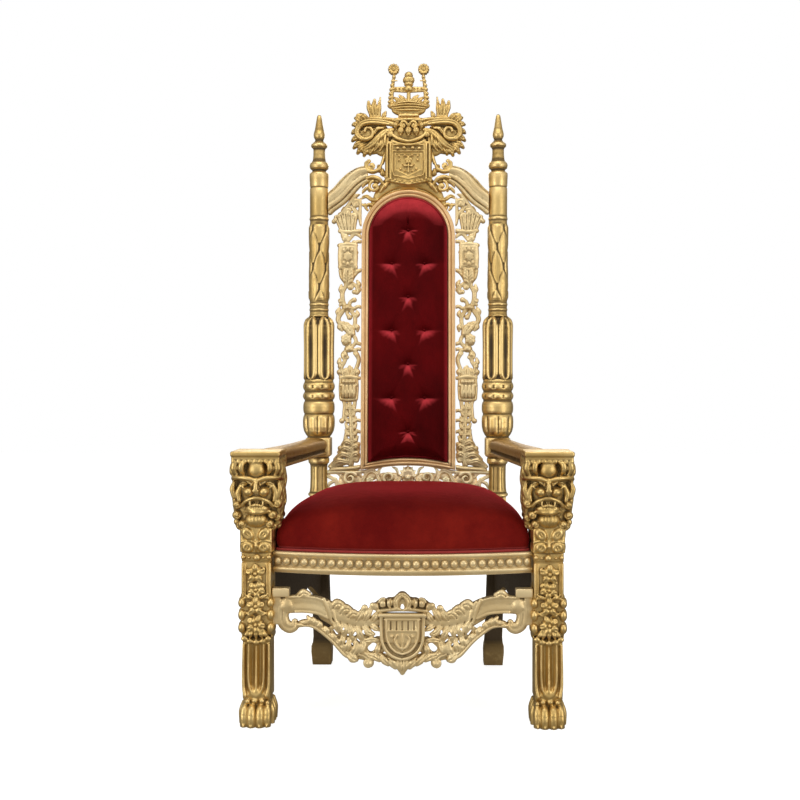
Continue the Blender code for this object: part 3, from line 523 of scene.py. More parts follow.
def lion_head(clay):
    """Flat-topped lion's mask: smooth forehead, straight brow, round cheeks, open jaws, curled mane.

    It looks a little towards the seat, which is on the +x side.
    """
    clay.block((-.0565, -.026, .52), (.0575, .054, .672), edge=.018, soft=.004)
    clay.block((-.0455, -.026, .478), (.0455, .052, .56), edge=.018, soft=.01)
    # mane down the side faces: wavy strands, each ending in a curl
    for side in (-1, 1):
        for index in range(5):
            y = -.016 + .017 * index
            drop = (.502, .49, .492, .5, .51)[index]
            strand = []
            for z in np.arange(.66, drop, -.011):
                wave = math.sin((z - .5) * 120 + index * 1.9)
                taper = min(1.0, max(0.0, (z - .48) / .06))
                strand.append((side * (.0455 + .0095 * taper + .0018 * wave), y + .0036 * wave, z))
            clay.stroke(strand, "7 8.8 8.6 7.8 5.5", soft=.0012, steps=2)
            x, _, z = strand[-1]
            clay.ball((x + side * .001, y, z - .002), (.0085, .009, .0095), soft=.001)
    # the mass of the face, with the smooth forehead above it
    clay.ball((.002, -.02, .59), (.044, .033, .056), soft=.006)
    clay.ball((.002, -.036, .636), (.0245, .023, .025), soft=.005)
    clay.stroke(drawn("-13 -46 652, 2 -51 657, 17 -46 652"), "3 4.6 3", soft=.0015)
    # big locks at both sides of the forehead
    for side in (-1, 1):
        for path, widths in ((drawn("24 -40 658, 34 -53 652, 36 -54 638, 29 -48 626"), "4.5 7.2 6.8 3"),
                             (drawn("36 -34 660, 50 -46 655, 55 -48 640, 48 -46 625"), "5 8 8 4"),
                             (drawn("56 -20 658, 60 -34 646, 61 -36 630, 58 -34 620"), "5 7 7 4")):
            clay.stroke([(.001 + side * x, y, z) for x, y, z in path], widths, soft=.0016)
        clay.ball((.001 + side * .044, -.048, .642), (.0052, .0065, .006), soft=.0008)
    # brow: a long straight ledge that dips at the nose
    for side in (-1, 1):
        clay.stroke([(.003 + side * .004, -.0555, .611), (.002 + side * .02, -.057, .616),
                     (.001 + side * .04, -.05, .618), (side * .056, -.036, .616), (side * .062, -.016, .612)],
                    "5.6 6.2 6.2 5.6 4.5", soft=.002, flat=1.25)
    # eyes: deep under the brow
    for side in (-1, 1):
        eye = .002 + side * .03
        clay.ball((eye, -.052, .5985), (.015, .015, .0092), turn=side * -.2, soft=.002, cut=True)
        clay.ball((eye, -.0385, .599), (.0088, .009, .0074), soft=.0006)
        clay.stroke([(eye - .011, -.04, .5985 - side * .002), (eye, -.048, .6062),
                     (eye + .011, -.04, .5985 + side * .002)], .0024, soft=.0006)
        clay.stroke([(eye - .0105, -.04, .597), (eye, -.046, .5915), (eye + .0105, -.04, .597)], .002,
                    soft=.0006)
        clay.dent((eye - side * .001, .5995), (.0034, .0034), .0026, y=(-1, -.041))
        # cheekbone behind the eye, running out to the mane
        clay.stroke([(.002 + side * .04, -.036, .596), (.002 + side * .047, -.037, .578),
                     (.002 + side * .044, -.04, .56)], "6 7.8 5", soft=.003)
    # nose: narrow bridge and small tip between two round cheeks
    clay.stroke(drawn("3 -55 613, 3 -63 600, 3 -66.5 587"), "5.2 5.8 5", soft=.0014)
    for side in (-1, 1):
        clay.stroke([(.003 + side * .007, -.054, .608), (.003 + side * .012, -.058, .598)], "2.2 3.6",
                    soft=.001)
        clay.ball((.003 + side * .019, -.0495, .583), (.0138, .0185, .0122), soft=.0014)
        clay.press([(.003 + side * .009, .596), (.003 + side * .019, .599), (.003 + side * .03, .595)], .003,
                   .003, y=(-1, -.03))
    clay.ball((.003, -.066, .5865), (.0082, .0072, .0052), soft=.0008)
    clay.stroke(drawn("3 -70 580, 3 -66 570"), .0016, soft=.001, cut=True)
    # jaws: lip arch, dark mouth, fangs, teeth along the lower jaw
    clay.stroke(drawn("-35 -36 547, -21 -47 560, 3 -54 568, 27 -47 560, 41 -36 547"), "5 5.6 5 5.6 5",
                soft=.0016)
    clay.ball((.003, -.036, .54), (.03, .02, .014), soft=.004)
    clay.stroke(drawn("-25 -46 548, -11 -54 556, 3 -57 559, 17 -54 556, 31 -46 548"), "4 5.4 4 5.4 4",
                soft=.0006, flat=2.8, cut=True)
    clay.stroke(drawn("-20 -42 540, -8 -50 547, 3 -53 550, 14 -50 547, 26 -42 540"), "4.5 5.2 5 5.2 4.5",
                soft=.0015)
    clay.stroke(drawn("-25 -36 533, 3 -52 532, 31 -36 533"), "5.5 7 5.5", soft=.002)
    for index in range(-3, 4):
        x = .003 + .0056 * index
        clay.press([(x, .557 - .0008 * index * index), (x, .542)], .0015, .0024, y=(-1, -.03))
    for side in (-1, 1):
        x = .003 + side * .016
        clay.stroke([(x, -.051, .56), (x * 1.02, -.0545, .547)], "3.6 1.2", soft=.0006)
    # smooth chin, and the curls of the mane round it
    clay.ball((0.0, -.03, .511), (.029, .023, .02), soft=.002)
    for x in (-.012, 0.0, .012):
        clay.press([(x, .524), (x * .9, .51), (x * .6, .497)], .0026, .0018, y=(-1, -.02))
    curls = ((.053, -.03, .552, .0128), (-.049, -.03, .548, .0112), (.041, -.032, .524, .0112),
             (-.05, -.026, .522, .0118), (-.035, -.032, .5, .011), (.052, -.022, .516, .01),
             (.034, -.034, .501, .0104), (.043, -.022, .494, .0086), (-.044, -.022, .492, .0084))
    for x, y, z, size in curls:
        clay.ball((x, y, z), (size, size * 1.15, size), soft=.0012)
        spin = 1 if x > 0 else -1
        groove = [(x + spin * size * .74 * (1 - t) * math.cos(2.6 + 5.0 * t),
                   z + size * .74 * (1 - t) * math.sin(2.6 + 5.0 * t)) for t in np.linspace(0, .85, 7)]
        clay.press(groove, .0022, .0026, y=(-1, y), steps=3)
    for side in (-1, 1):
        clay.stroke(drawn("56 -34 605, 60 -36 588, 55.5 -36 568", side), "4 6.6 6", soft=.0015)
    # cap and the tufts that hang from it
    clay.block((-.0625, -.057, .669), (.0625, .055, .683), edge=.005, soft=.001)
    clay.block((-.0605, -.054, .66), (.0605, .055, .671), edge=.0045, soft=.001)
    for index in range(9):
        x = -.054 + .0135 * index
        clay.ball((x, -.05, .658), (.0066, .0056, .006), soft=.0015)
    for side in (-1, 1):
        for index in range(6):
            y = -.036 + .0165 * index
            clay.ball((side * .0575, y, .657), (.0055, .008, .007), soft=.0015)


def leg_shaft(clay):
    """Petals, beads, a panel with flowers, rosettes between bosses, leaf collar and long tongue."""
    front = -.0355
    clay.block((-.0405, front, .222), (.04, .037, .328), edge=.008, soft=.004)
    clay.block((-.0375, front, .32), (.037, .037, .5), edge=.004, soft=.003)
    clay.block((-.035, front + .0005, .06), (.035, .0355, .215), edge=.006, soft=.002)
    clay.block((-.0415, front, .427), (.0395, .037, .49), edge=.005, soft=.004)
    # cheek behind the leg that the cushion's corner leans on
    clay.block((.015, .026, .426), (.044, .05, .515), edge=.005, soft=.003)
    for side in (-1, 1):
        x = side * .02 - .001
        for z, wide, tall, turn in ((.4755, .0142, .019, .66), (.443, .0158, .0146, -.25)):
            clay.ball((x, front + .001, z), (wide, .0105, tall), turn=side * turn, soft=.0005)
            clay.dent((x, z - .001), (wide * .62, tall * .66), .005, turn=side * turn, y=(-1, 0))
            clay.stroke([(x + side * turn * .008, front - .006, z + .0075), (x, front - .0068, z),
                         (x - side * turn * .008, front - .006, z - .0075)], "0.8 1.8 0.8", soft=.0004)
            clay.ball((side * .039, -.014, z), (.0055, .015, tall), soft=.001)
        clay.stroke([(side * .038, front - .001, .456), (side * .018, front - .003, .459),
                     (0, front - .004, .454)], "2 2.4 2", soft=.0008)
        clay.ball((side * .032, front - .001, .418), (.0062, .0065, .0062), soft=.0006)
        clay.ball((side * .018, front - .001, .417), (.0038, .0045, .0038), soft=.0006)
        # panel border: two fillets with a groove between them
        for x, r in drawn("34 3, 26.2 1.8"):
            clay.stroke([(side * x, front - .001, .402), (side * x, front - .001, .319)], r, soft=.0008)
        for z, tall in ((.304, .012), (.274, .014), (.242, .013)):
            clay.ball((side * .036, front - .001, z), (.0092, .01, tall), soft=.0008)
            clay.ball((side * .0415, -.018, z), (.0056, .013, tall), soft=.0008)
        # leaves that cross between the rosettes
        for z0, z1 in drawn("313 326, 287 274, 270 283, 244 230"):
            clay.stroke([(side * .004, front - .001, z0), (side * .016, front - .005, (z0 + z1) / 2),
                         (side * .0285, front - .001, z1)], "2 4.8 1.6", soft=.0008)
            clay.press([(side * .006, z0), (side * .026, z1)], .0016, .0016)
        # long hollow leaf: rim, ridge outside it, groove between
        clay.stroke([(side * .0185, front - .001, .2), (side * .019, front - .003, .125),
                     (side * .016, front - .004, .093), (side * .0085, front - .0045, .077),
                     (0.0, front - .0045, .072)], "3.2 3.4 3.6 3.4", soft=.001)
        clay.press(drawn("9.5 198, 9.5 110, 6 86", side), "7.5 7.5 4", .0062, y=(-1, 0))
        clay.press(drawn("25.5 198, 25.8 120, 23 88, 12 70", side), "3.5 4.2 3.5", .006, y=(-1, 0))
        clay.stroke([(side * .0318, front - 0.0, .2), (side * .0318, front - .002, .105),
                     (side * .027, front - .006, .074)], "3 4 5", soft=.001)
    clay.stroke([(0, front - .001, .432), (0, front - .004, .447), (0, front - .001, .462)], "1.5 5 1",
                soft=.0008)
    clay.ball((.002, front - .003, .417), (.0092, .0088, .0092), soft=.0006)
    clay.press(drawn("-40 428.5, 40 428.5"), .0018, .0022, y=(-1, 0))
    clay.press(drawn("-40 405.5, 40 405.5"), .0022, .0026, y=(-1, 0))
    clay.stroke([(-.03, front - .001, .316), (.03, front - .001, .316)], .0022, soft=.001)
    rosette(clay, -.002, front - .001, .377, .0245, petals=5, depth=.44)
    rosette(clay, 0.0, front - .001, .337, .0225, petals=5, depth=.46, turn=.5)
    clay.stroke([(-.014, front, .365), (-.018, front - .004, .356), (-.008, front - .001, .348)], "1 4 1",
                soft=.0008)
    clay.stroke([(.014, front, .395), (.02, front - .004, .388), (.017, front - .001, .374)], "1 4 1",
                soft=.0008)
    clay.stroke([(.012, front, .356), (.019, front - .004, .348), (.014, front - .001, .333)], "1 4.2 1",
                soft=.0008)
    rosette(clay, -.001, front - .002, .296, .023, petals=5, depth=.5)
    rosette(clay, -.001, front - .002, .25, .0245, petals=5, depth=.5, turn=.4)
    for x, z in drawn("0 214, -16 216.5, 16 216.5, -29 223, 29 223"):
        clay.stroke([(x * .5, front - .001, .238), (x * .8, front - .006, .227), (x, front - .002, z)],
                    "3.5 5.8 2", soft=.001)
        clay.ball((x * 1.02, front - .0008, z - .0085), (.0085, .0055, .0068), soft=.001)
    clay.stroke([(0, front + 0.0, .2), (0, front - .001, .15), (0, front - .003, .085)], "2.2 3 4", soft=.001)
    # side faces: a sunk panel with a leaf
    for side in (-1, 1):
        face = (.02, .06) if side > 0 else (-.06, -.02)
        clay.press_side(drawn("-20 398, 22 398, 22 322, -20 322, -20 398"), .0022, .0024, face)
        clay.press_side(drawn("-18 190, 18 190, 18 90, 0 74, -18 90, -18 190"), .0024, .0026, face)
        for z in (.379, .3415, .295, .252):
            clay.ball((side * .0355, .001, z), (.006, .013, .013), soft=.001)
            clay.ball((side * .042, .001, z), (.005, .0045, .0045), soft=.001, cut=True)
        clay.ball((side * .0365, .004, .218), (.005, .03, .008), soft=.001)
        clay.ball((side * .0365, .004, .418), (.0045, .03, .006), soft=.001)


def paw(clay):
    """Four long toes with claws under a row of knuckles."""
    clay.block((-.035, -.036, -.01), (.035, .0345, .06), edge=.01, soft=.004)
    clay.ball((0, -.014, .074), (.0365, .03, .026), soft=.005)
    for x, reach, r in drawn("-28 0 9.2, -9 5 10.2, 12.5 5 10.2, 30 0 8.8"):
        clay.stroke([(x, -.03, .05), (x, -.046 - reach, .041), (x, -.0525 - reach, .02),
                     (x, -.05 - reach, -.004)], [r * .8, r, r * 1.08, r * 1.05], soft=.0012)
        clay.stroke([(x, -.054 - reach, .013), (x, -.0625 - reach, .006), (x, -.064 - reach, .0005)], "4.2 3 1",
                    soft=.0008)
        clay.press([(x - .004, .03), (x + .004, .03)], .0018, .0012, y=(-1, -.04))
    for x, z, r in drawn("-21 59 6.8, -3 61 8, 15 60.5 7.2, 29 56 5.8"):
        clay.ball((x, -.0405, z), (r, r, r), soft=.001)
    for side in (-1, 1):
        for y in (-.02, .004, .024):
            clay.stroke([(side * .033, y, .052), (side * .0375, y - .002, .03),
                         (side * .0365, y - .003, -.002)], "6 8.5 8", soft=.0015)


def front_leg_mesh():
    clay = Clay((-.066, -.07, 0.0), (.066, .055, .683), .0017)
    leg_shaft(clay)
    lion_head(clay)
    paw(clay)
    clay.trim((-.068, -.07, 0.0), (.068, .055, .6828))
    mesh = fired(clay, .29)
    # the long flutes are less glazed than the carving above them
    values, points = hollows_of(mesh), coordinates(mesh)
    keep = np.interp(points[:, 2], (.195, .215), (.35, 1.0))
    values = np.where(values > 0, values * keep, values)
    # more glazing towards the sides of the head and on its upper part, less on the petals under it
    values += np.interp(points[:, 2], (.43, .44, .485, .5, .56, .59), (0, -.13, -.13, 0, 0, .07))
    values += np.interp(points[:, 2], (.5, .53), (0, 1)) * np.interp(np.abs(points[:, 0]), (.036, .058),
                                                                     (0, .14))
    set_hollow(mesh, np.clip(values, EDGE_MOST, HOLLOW_MOST))
    return mesh


class Recipe:
    """A node material put together call by call."""

    def __init__(self, name, roughness, metallic):
        self.material = bpy.data.materials.new(name)
        self.material.use_nodes = True
        self.tree = self.material.node_tree
        self.shader = self.tree.nodes["Principled BSDF"]
        self.shader.inputs["Roughness"].default_value = roughness
        self.shader.inputs["Metallic"].default_value = metallic
        self.place = self.node("ShaderNodeTexCoord").outputs["Object"]

    def node(self, kind, **settings):
        made = self.tree.nodes.new(kind)
        for key, value in settings.items():
            setattr(made, key, value)
        return made

    def link(self, source, target):
        self.tree.links.new(source, target)
        return target

    def noise(self, scale, detail=3.0, roughness=.55, stretch=None):
        texture = self.node("ShaderNodeTexNoise")
        texture.inputs["Scale"].default_value = scale
        texture.inputs["Detail"].default_value = detail
        texture.inputs["Roughness"].default_value = roughness
        source = self.place
        if stretch:
            mapping = self.node("ShaderNodeMapping")
            mapping.inputs["Scale"].default_value = stretch
            self.link(source, mapping.inputs["Vector"])
            source = mapping.outputs["Vector"]
        self.link(source, texture.inputs["Vector"])
        return texture.outputs["Fac"]

    def ramp(self, value, low, high, start=0.0, end=1.0):
        made = self.node("ShaderNodeMapRange", clamp=True)
        for key, number in (("From Min", low), ("From Max", high), ("To Min", start), ("To Max", end)):
            made.inputs[key].default_value = number
        self.link(value, made.inputs["Value"])
        return made.outputs["Result"]

    def maths(self, operation, a, b):
        made = self.node("ShaderNodeMath", operation=operation, use_clamp=False)
        for socket, value in zip(made.inputs, (a, b)):
            if isinstance(value, (int, float)):
                socket.default_value = value
            else:
                self.link(value, socket)
        return made.outputs["Value"]

    def mix(self, share, first, second, blend="MIX"):
        made = self.node("ShaderNodeMix", data_type="RGBA", blend_type=blend)
        if isinstance(share, (int, float)):
            made.inputs[0].default_value = share
        else:
            self.link(share, made.inputs[0])
        for socket, value in ((made.inputs[6], first), (made.inputs[7], second)):
            if isinstance(value, tuple):
                socket.default_value = (*value, 1.0)
            else:
                self.link(value, socket)
        return made.outputs[2]

    def attribute(self, name):
        return self.node("ShaderNodeAttribute", attribute_name=name).outputs["Fac"]

    def bump(self, layers):
        """Layers of (height, distance), the coarsest first."""
        normal = None
        for height, distance in layers:
            made = self.node("ShaderNodeBump")
            made.inputs["Strength"].default_value = 1.0
            made.inputs["Distance"].default_value = distance
            self.link(height, made.inputs["Height"])
            if normal is not None:
                self.link(normal, made.inputs["Normal"])
            normal = made.outputs["Normal"]
        self.link(normal, self.shader.inputs["Normal"])


def gilding(name, bright, deep, glaze_and_shade_tone, roughness, metal=1.0):
    """Leaf over carved wood: cloudy tone, brown glazing in the hollows, paler edges; the glazing is partly a
    real toning and partly painted shade in the recesses, the paler edges partly wear and partly painted
    highlight.
    """
    made = Recipe(name, roughness, 1.0)
    hollow = made.attribute("hollow")
    cloud = made.ramp(made.noise(9.0, 4.0), .35, .68)
    speck = made.ramp(made.noise(120.0, 3.0, .7), .42, .72)
    tone = made.mix(cloud, bright, deep)
    tone = made.mix(made.maths("MULTIPLY", speck, .3), tone, deep)
    # ridges painted paler: partly rubbed wear, partly painted highlight
    edge = made.ramp(hollow, -.16, -.55)
    pale = tuple(min(1.0, channel * 1.18 + .05) for channel in bright)
    tone = made.mix(made.maths("MULTIPLY", edge, .75), tone, pale)
    # brown glazing settled in the hollows: partly a real toning, partly painted shade in the recesses
    patchy = made.maths("ADD", hollow, made.ramp(made.noise(60.0, 3.0), .2, .8, -.05, .05))
    settled = made.ramp(patchy, .03, .34)
    tone = made.mix(made.maths("MULTIPLY", settled, .86), tone, glaze_and_shade_tone)
    # faces marked past .6 get a near-black brown: painted shade for faces that lie in shadow
    tone = made.mix(made.ramp(hollow, .6, .7), tone, (.046, .029, .012))
    made.shader.inputs["Specular IOR Level"].default_value = .3
    made.link(tone, made.shader.inputs["Base Color"])
    made.link(made.ramp(settled, 0.0, 1.0, metal, .35), made.shader.inputs["Metallic"])
    rough = made.maths("ADD", made.ramp(speck, 0, 1, roughness - .05, roughness + .09),
                       made.ramp(settled, 0, 1, 0.0, .26))
    made.link(rough, made.shader.inputs["Roughness"])
    made.bump([(made.noise(85.0, 3.0), .00045), (made.noise(420.0, 2.0), .00016)])
    return made.material


def velvet(name):
    """Crushed pile, darker on the tufted back, with painted highlights on the back's up-facing slopes, side
    rolls and top, painted shade on the seat's top and a painted highlight along the foot of the seat's border.
    """
    made = Recipe(name, .78, 0.0)
    crush = made.ramp(made.noise(7.0, 4.0, .6, stretch=(1.0, 1.0, .6)), .36, .66)
    nap = made.ramp(made.noise(55.0, 4.0, .7), .35, .7)
    seat = made.mix(crush, (.095, .003, .0022), (.15, .0075, .004))
    back = made.mix(crush, (.04, .0006, .001), (.085, .0013, .002))
    facing = made.node("ShaderNodeSeparateXYZ")
    made.link(made.node("ShaderNodeNewGeometry").outputs["Normal"], facing.inputs[0])
    # painted highlight on the back's slopes that face up
    upward_highlight = made.maths("MULTIPLY", made.ramp(facing.outputs["Z"], .22, .8), .92)
    back = made.mix(upward_highlight, back, (.56, .045, .055))
    # painted shade on the seat's up-facing top
    seat = made.mix(made.maths("MULTIPLY", made.ramp(facing.outputs["Z"], .55, 1.0), .45), seat,
                    (.06, .001, .001))
    height = made.node("ShaderNodeSeparateXYZ")
    made.link(made.place, height.inputs[0])
    # painted sheen on the rolls along the back pad's sides
    roll = made.ramp(made.maths("ABSOLUTE", height.outputs["X"], 0.0), .1085, .1165)
    back = made.mix(made.maths("MULTIPLY", roll, .45), back, (.34, .02, .026))
    # painted highlight over the top of the back pad
    crown = made.ramp(made.maths("ADD", height.outputs["Z"], made.maths("MULTIPLY", crush, -.02)), 1.345, 1.435)
    back = made.mix(made.maths("MULTIPLY", crown, .7), back, (.4, .028, .034))
    # painted highlight along the foot of the seat's border
    seat = made.mix(made.maths("MULTIPLY", made.ramp(height.outputs["Z"], .4425, .4395), .75), seat,
                    (.3, .045, .04))
    tone = made.mix(made.ramp(height.outputs["Z"], .586, .592), seat, back)
    tone = made.mix(made.maths("MULTIPLY", nap, .25), tone, (.04, .0006, .001))
    made.link(tone, made.shader.inputs["Base Color"])
    made.shader.inputs["Sheen Weight"].default_value = .55
    made.shader.inputs["Sheen Roughness"].default_value = .3
    made.shader.inputs["Sheen Tint"].default_value = (1.0, .07, .085, 1.0)
    made.shader.inputs["Specular IOR Level"].default_value = .04
    made.bump([(made.noise(48.0, 3.0, .6), .0012), (made.noise(900.0, 2.0), .00035)])
    return made.material


def plain_cloth(name):
    made = Recipe(name, .95, 0.0)
    tone = made.mix(made.ramp(made.noise(30.0), .3, .7), (.016, .015, .015), (.03, .028, .027))
    made.link(tone, made.shader.inputs["Base Color"])
    made.bump([(made.noise(700.0, 1.0), .0003)])
    return made.material


def studio():
    """White sweep for the camera; soft boxes and a dimmer surround for the light on the gilding."""
    scene = bpy.context.scene
    world = bpy.data.worlds.new("studio")
    scene.world = world
    world.use_nodes = True
    tree = world.node_tree
    background = tree.nodes["Background"]
    coords = tree.nodes.new("ShaderNodeTexCoord")
    split = tree.nodes.new("ShaderNodeSeparateXYZ")
    tree.links.new(coords.outputs["Generated"], split.inputs["Vector"])
    ramp = tree.nodes.new("ShaderNodeValToRGB")
    ramp.color_ramp.elements[0].position = .3
    ramp.color_ramp.elements[0].color = (.3, .28, .25, 1)
    ramp.color_ramp.elements[1].position = .6
    ramp.color_ramp.elements[1].color = (.74, .73, .71, 1)
    shift = tree.nodes.new("ShaderNodeMath")
    shift.operation = "MULTIPLY_ADD"
    shift.inputs[1].default_value = .5
    shift.inputs[2].default_value = .5
    tree.links.new(split.outputs["Z"], shift.inputs[0])
    tree.links.new(shift.outputs[0], ramp.inputs["Fac"])
    behind = tree.nodes.new("ShaderNodeMapRange")
    for key, number in (("From Min", -.1), ("From Max", .45), ("To Min", 1.0), ("To Max", .4)):
        behind.inputs[key].default_value = number
    tree.links.new(split.outputs["Y"], behind.inputs["Value"])
    dim = tree.nodes.new("ShaderNodeMix")
    dim.data_type, dim.blend_type = "RGBA", "MULTIPLY"
    dim.inputs[0].default_value = 1.0
    tree.links.new(ramp.outputs["Color"], dim.inputs[6])
    tree.links.new(behind.outputs["Result"], dim.inputs[7])
    path = tree.nodes.new("ShaderNodeLightPath")
    mix = tree.nodes.new("ShaderNodeMix")
    mix.data_type = "RGBA"
    tree.links.new(path.outputs["Is Camera Ray"], mix.inputs[0])
    tree.links.new(dim.outputs[2], mix.inputs[6])
    mix.inputs[7].default_value = (1.0, 1.0, 1.0, 1)
    tree.links.new(mix.outputs[2], background.inputs["Color"])
    background.inputs["Strength"].default_value = 1.0
    boxes = (("soft_left", (-2.6, -2.4, 1.15), 1.5, 2.6, 34), ("soft_right", (2.6, -2.3, 1.15), 1.5, 2.6, 30),
             ("soft_top", (0.0, -1.2, 3.7), 2.6, 1.8, 34), ("soft_back", (0.0, 3.2, 2.6), 2.6, 1.6, 50),)
    for name, place, wide, tall, power in boxes:
        data = bpy.data.lights.new(name, "AREA")
        data.shape = "RECTANGLE"
        data.size, data.size_y, data.energy = wide, tall, power
        lamp = bpy.data.objects.new(name, data)
        lamp.location = place
        lamp.rotation_euler = (Vector((0, 0, .85)) - Vector(place)).to_track_quat("-Z", "Y").to_euler()
        scene.collection.objects.link(lamp)
    floor = bpy.data.objects.new("floor",
                                 mesh_from([(-9, -9, 0), (9, -9, 0), (9, 9, 0), (-9, 9, 0)], [(0, 1, 2, 3)],
                                           "floor"))
    finish = Recipe("floor_paper", .9, 0.0)
    tone = finish.mix(finish.noise(2.0), (.5, .5, .495), (.53, .53, .525))
    finish.link(tone, finish.shader.inputs["Base Color"])
    finish.link(tone, finish.shader.inputs["Emission Color"])
    finish.shader.inputs["Emission Strength"].default_value = 1.55
    floor.data.materials.append(finish.material)
    floor.visible_glossy = False
    scene.collection.objects.link(floor)
    scene.view_settings.view_transform = "Standard"
    return floor


def camera():
    """The photo's view: from seated height, a little to the right of the middle."""
    data = bpy.data.cameras.new("camera")
    data.sensor_width = 36
    data.lens = 46.35
    data.shift_x, data.shift_y = -.0202, -.025
    item = bpy.data.objects.new("camera", data)
    item.location = (.075, -2.915, .86)
    item.rotation_euler = (math.radians(90), 0, math.radians(.9))
    bpy.context.scene.collection.objects.link(item)
    bpy.context.scene.camera = item
    return item


RAKE = math.radians(4.5)  # of the back posts and all that they hold
POST_Y = .243  # middle of the back posts, at the seat
POST_TOP = 1.699
POST_FOOT_X, POST_SEAT_X, POST_TOP_X = .259, .2735, .283  # how far apart they stand: half, at three heights
SEAT = .43  # top of the seat rails
LEG_X, LEG_Y, LEG_HALF = .3645, -.315, .0375  # middle of the right front leg, and half its width
GAP = .0012  # between a board and the leg or post that it ends at


def post_spread(z):
    """How far the middle of a back post is from the throne's middle plane at height z."""
    if z <= SEAT:
        return POST_FOOT_X + (POST_SEAT_X - POST_FOOT_X) * z / SEAT
    return POST_SEAT_X + (POST_TOP_X - POST_SEAT_X) * (z - SEAT) / (POST_TOP - SEAT)


def post_lean(z):
    return POST_Y + max(0.0, z - SEAT) * math.tan(RAKE)


# height and half width of a back post
POST_OUTLINE = np.array(drawn(
    "0 28.5, 40 31, 54 31, 60 28.5, 66 26.2, 500 26, 503 26.5, 506.5 32.5, 511.5 33, 516 28.5, 530 26.8, "
    "560 25.8, 596 26.2, 602 27.5, 605 31.2, 611 32.5, 618 32.2, 622.5 30, 624.5 33, 626.5 36.8, 629 38, "
    "679 38, 681.5 36.8, 683.5 34.5, 687 36, 692 40, 702 45.5, 716 48.6, 732 49.2, 746 48.4, 752 45.5, "
    "756 44.5, 760 47, 768 48.4, 782 48.4, 790 46.8, 794.5 44, 798 43.6, 803 47.4, 810 49.2, 817 48.2, "
    "822.5 44.4, 826 43.8, 832 47.4, 840 49, 848 47.8, 853.5 44.6, 858 44.4, 866 46.2, 880 46.6, 960 46.4, "
    "1010 47.4, 1028 47.2, 1040 45.2, 1048 41.2, 1054 35, 1058 30.6, 1062 29.2, 1074.5 28.6, 1076.5 30.2, "
    "1080 30.4, 1082 28.8, 1091 28.8, 1093 30.4, 1097 30.4, 1099 28.8, 1116 29, 1155 30.4, 1190 29.6, "
    "1222 27.6, 1255 28, 1290 30.4, 1325 29.6, 1352 28.6, 1360.5 28.6, 1362.5 30.4, 1367.5 30.4, 1369.5 28.8, "
    "1460 29.2, 1462.5 27.4, 1465.5 27.2, 1468 29, 1502 30.5, 1509 30, 1514 25, 1517.5 20.8, 1521 22.5, "
    "1526 28.5, 1534 30.5, 1542 28.5, 1547 23, 1553 20, 1570 18.6, 1588 18.4, 1592 21.5, 1596 25.5, 1602 25.8, "
    "1607 21.5, 1612 15, 1617 12.5, 1621 14.2, 1628 17.4, 1636 18, 1644 16, 1652 13.8, 1664 11.8, 1682 9, "
    "1692 7.4, 1697 5.6, 1699 2.6"))
# height, and how square the section is there (0 round, 1 square)
POST_SQUARENESS = np.array((
    (0.0, 1), (.5, 1), (.503, .6), (.5065, .25), (.5115, .1), (.516, 0), (.618, 0), (.6225, .1), (.6245, .9),
    (.6265, 1), (.6815, 1), (.6835, .6), (.687, .1), (.692, 0), (1.699, 0)))


def bump_between(z, low, high, ease):
    """1 between two heights, easing to 0 outside them."""
    return float(np.clip(min((z - low) / ease, (high - z) / ease), 0, 1))


def post_relief(z, angle, way):
    """Carving round a back post at height z: depth added at each angle."""
    relief = np.zeros_like(angle)
    round_front = (angle + math.pi / 2) / math.tau
    # plain turned column under the arm, lightly reeded
    relief -= .0012 * bump_between(z, .52, .596, .006) * np.maximum(0, np.cos(12 * angle)) ** 2
    # gadroons on the bulb, and wide lobes on the rings above it
    lobe = np.mod(round_front * 8, 1) * 2 - 1
    relief += .007 * bump_between(z, .692, .752, .014) * (np.sqrt(np.maximum(0, 1 - lobe ** 2)) - .86)
    relief -= .0022 * bump_between(z, .692, .75, .014) * np.exp(-(lobe / .16) ** 2)
    scallop = np.abs(np.cos(round_front * math.tau * 5))
    relief += .0034 * (bump_between(z, .803, .818, .004) + bump_between(z, .832, .848, .004)) * (scallop ** .7
                                                                                                 - .7)
    # six tall petals: hollow middle between raised edges, arched head, a sharp valley between neighbours
    petal = np.abs(np.mod(round_front * 6, 1) * 2 - 1)
    head, foot = (z - 1.01) / .046, (.888 - z) / .026
    over = max(0.0, head, foot)
    half = math.sqrt(max(0.0, 1 - min(1.0, over) ** 2)) if over > 0 else 1.0
    body = bump_between(z, .86, 1.058, .004)
    valley = np.clip((petal - half * .84) / .16, 0, 1)
    relief -= body * .0058 * valley ** 1.3 * (1.0 if head < .3 else min(2.2, 1 + 1.6 * (head - .3)))
    rim = np.exp(-((petal - half * .6) / .13) ** 2)
    middle = np.maximum(0, 1 - (petal / max(.44 * half, .05)) ** 2)
    relief += body * (.0016 * rim - .003 * middle * min(1.0, half * 1.2))
    # broad pointed leaves in staggered tiers up the upper shaft, each with one rib
    inside = bump_between(z, 1.106, 1.348, .01)
    if inside:
        best = np.full_like(angle, -.0016)
        tier = (z - 1.1) / .062
        for row in (math.floor(tier), math.floor(tier) - 1):
            up = tier - row  # 0 at the leaf's foot, up to 1.7 at its tip
            if not 0 <= up < 1.7:
                continue
            shift = round_front * 4 + .5 * (row % 2) + way * .1 * up
            blade = np.abs(np.mod(shift, 1) * 2 - 1)
            half_leaf = .98 * math.sin(math.pi * min(1.0, (up + .25) / 1.95)) ** .8
            edge = np.clip((half_leaf - blade) / .3, 0, 1)
            edge = edge * edge * (3 - 2 * edge)
            rib = np.exp(-(blade / .12) ** 2)
            best = np.maximum(best,
                              edge * (.0012 + .002 * min(1.0, up)) - .0012 * (1 - edge) + .0007 * rib * edge)
        relief += inside * best
    return relief


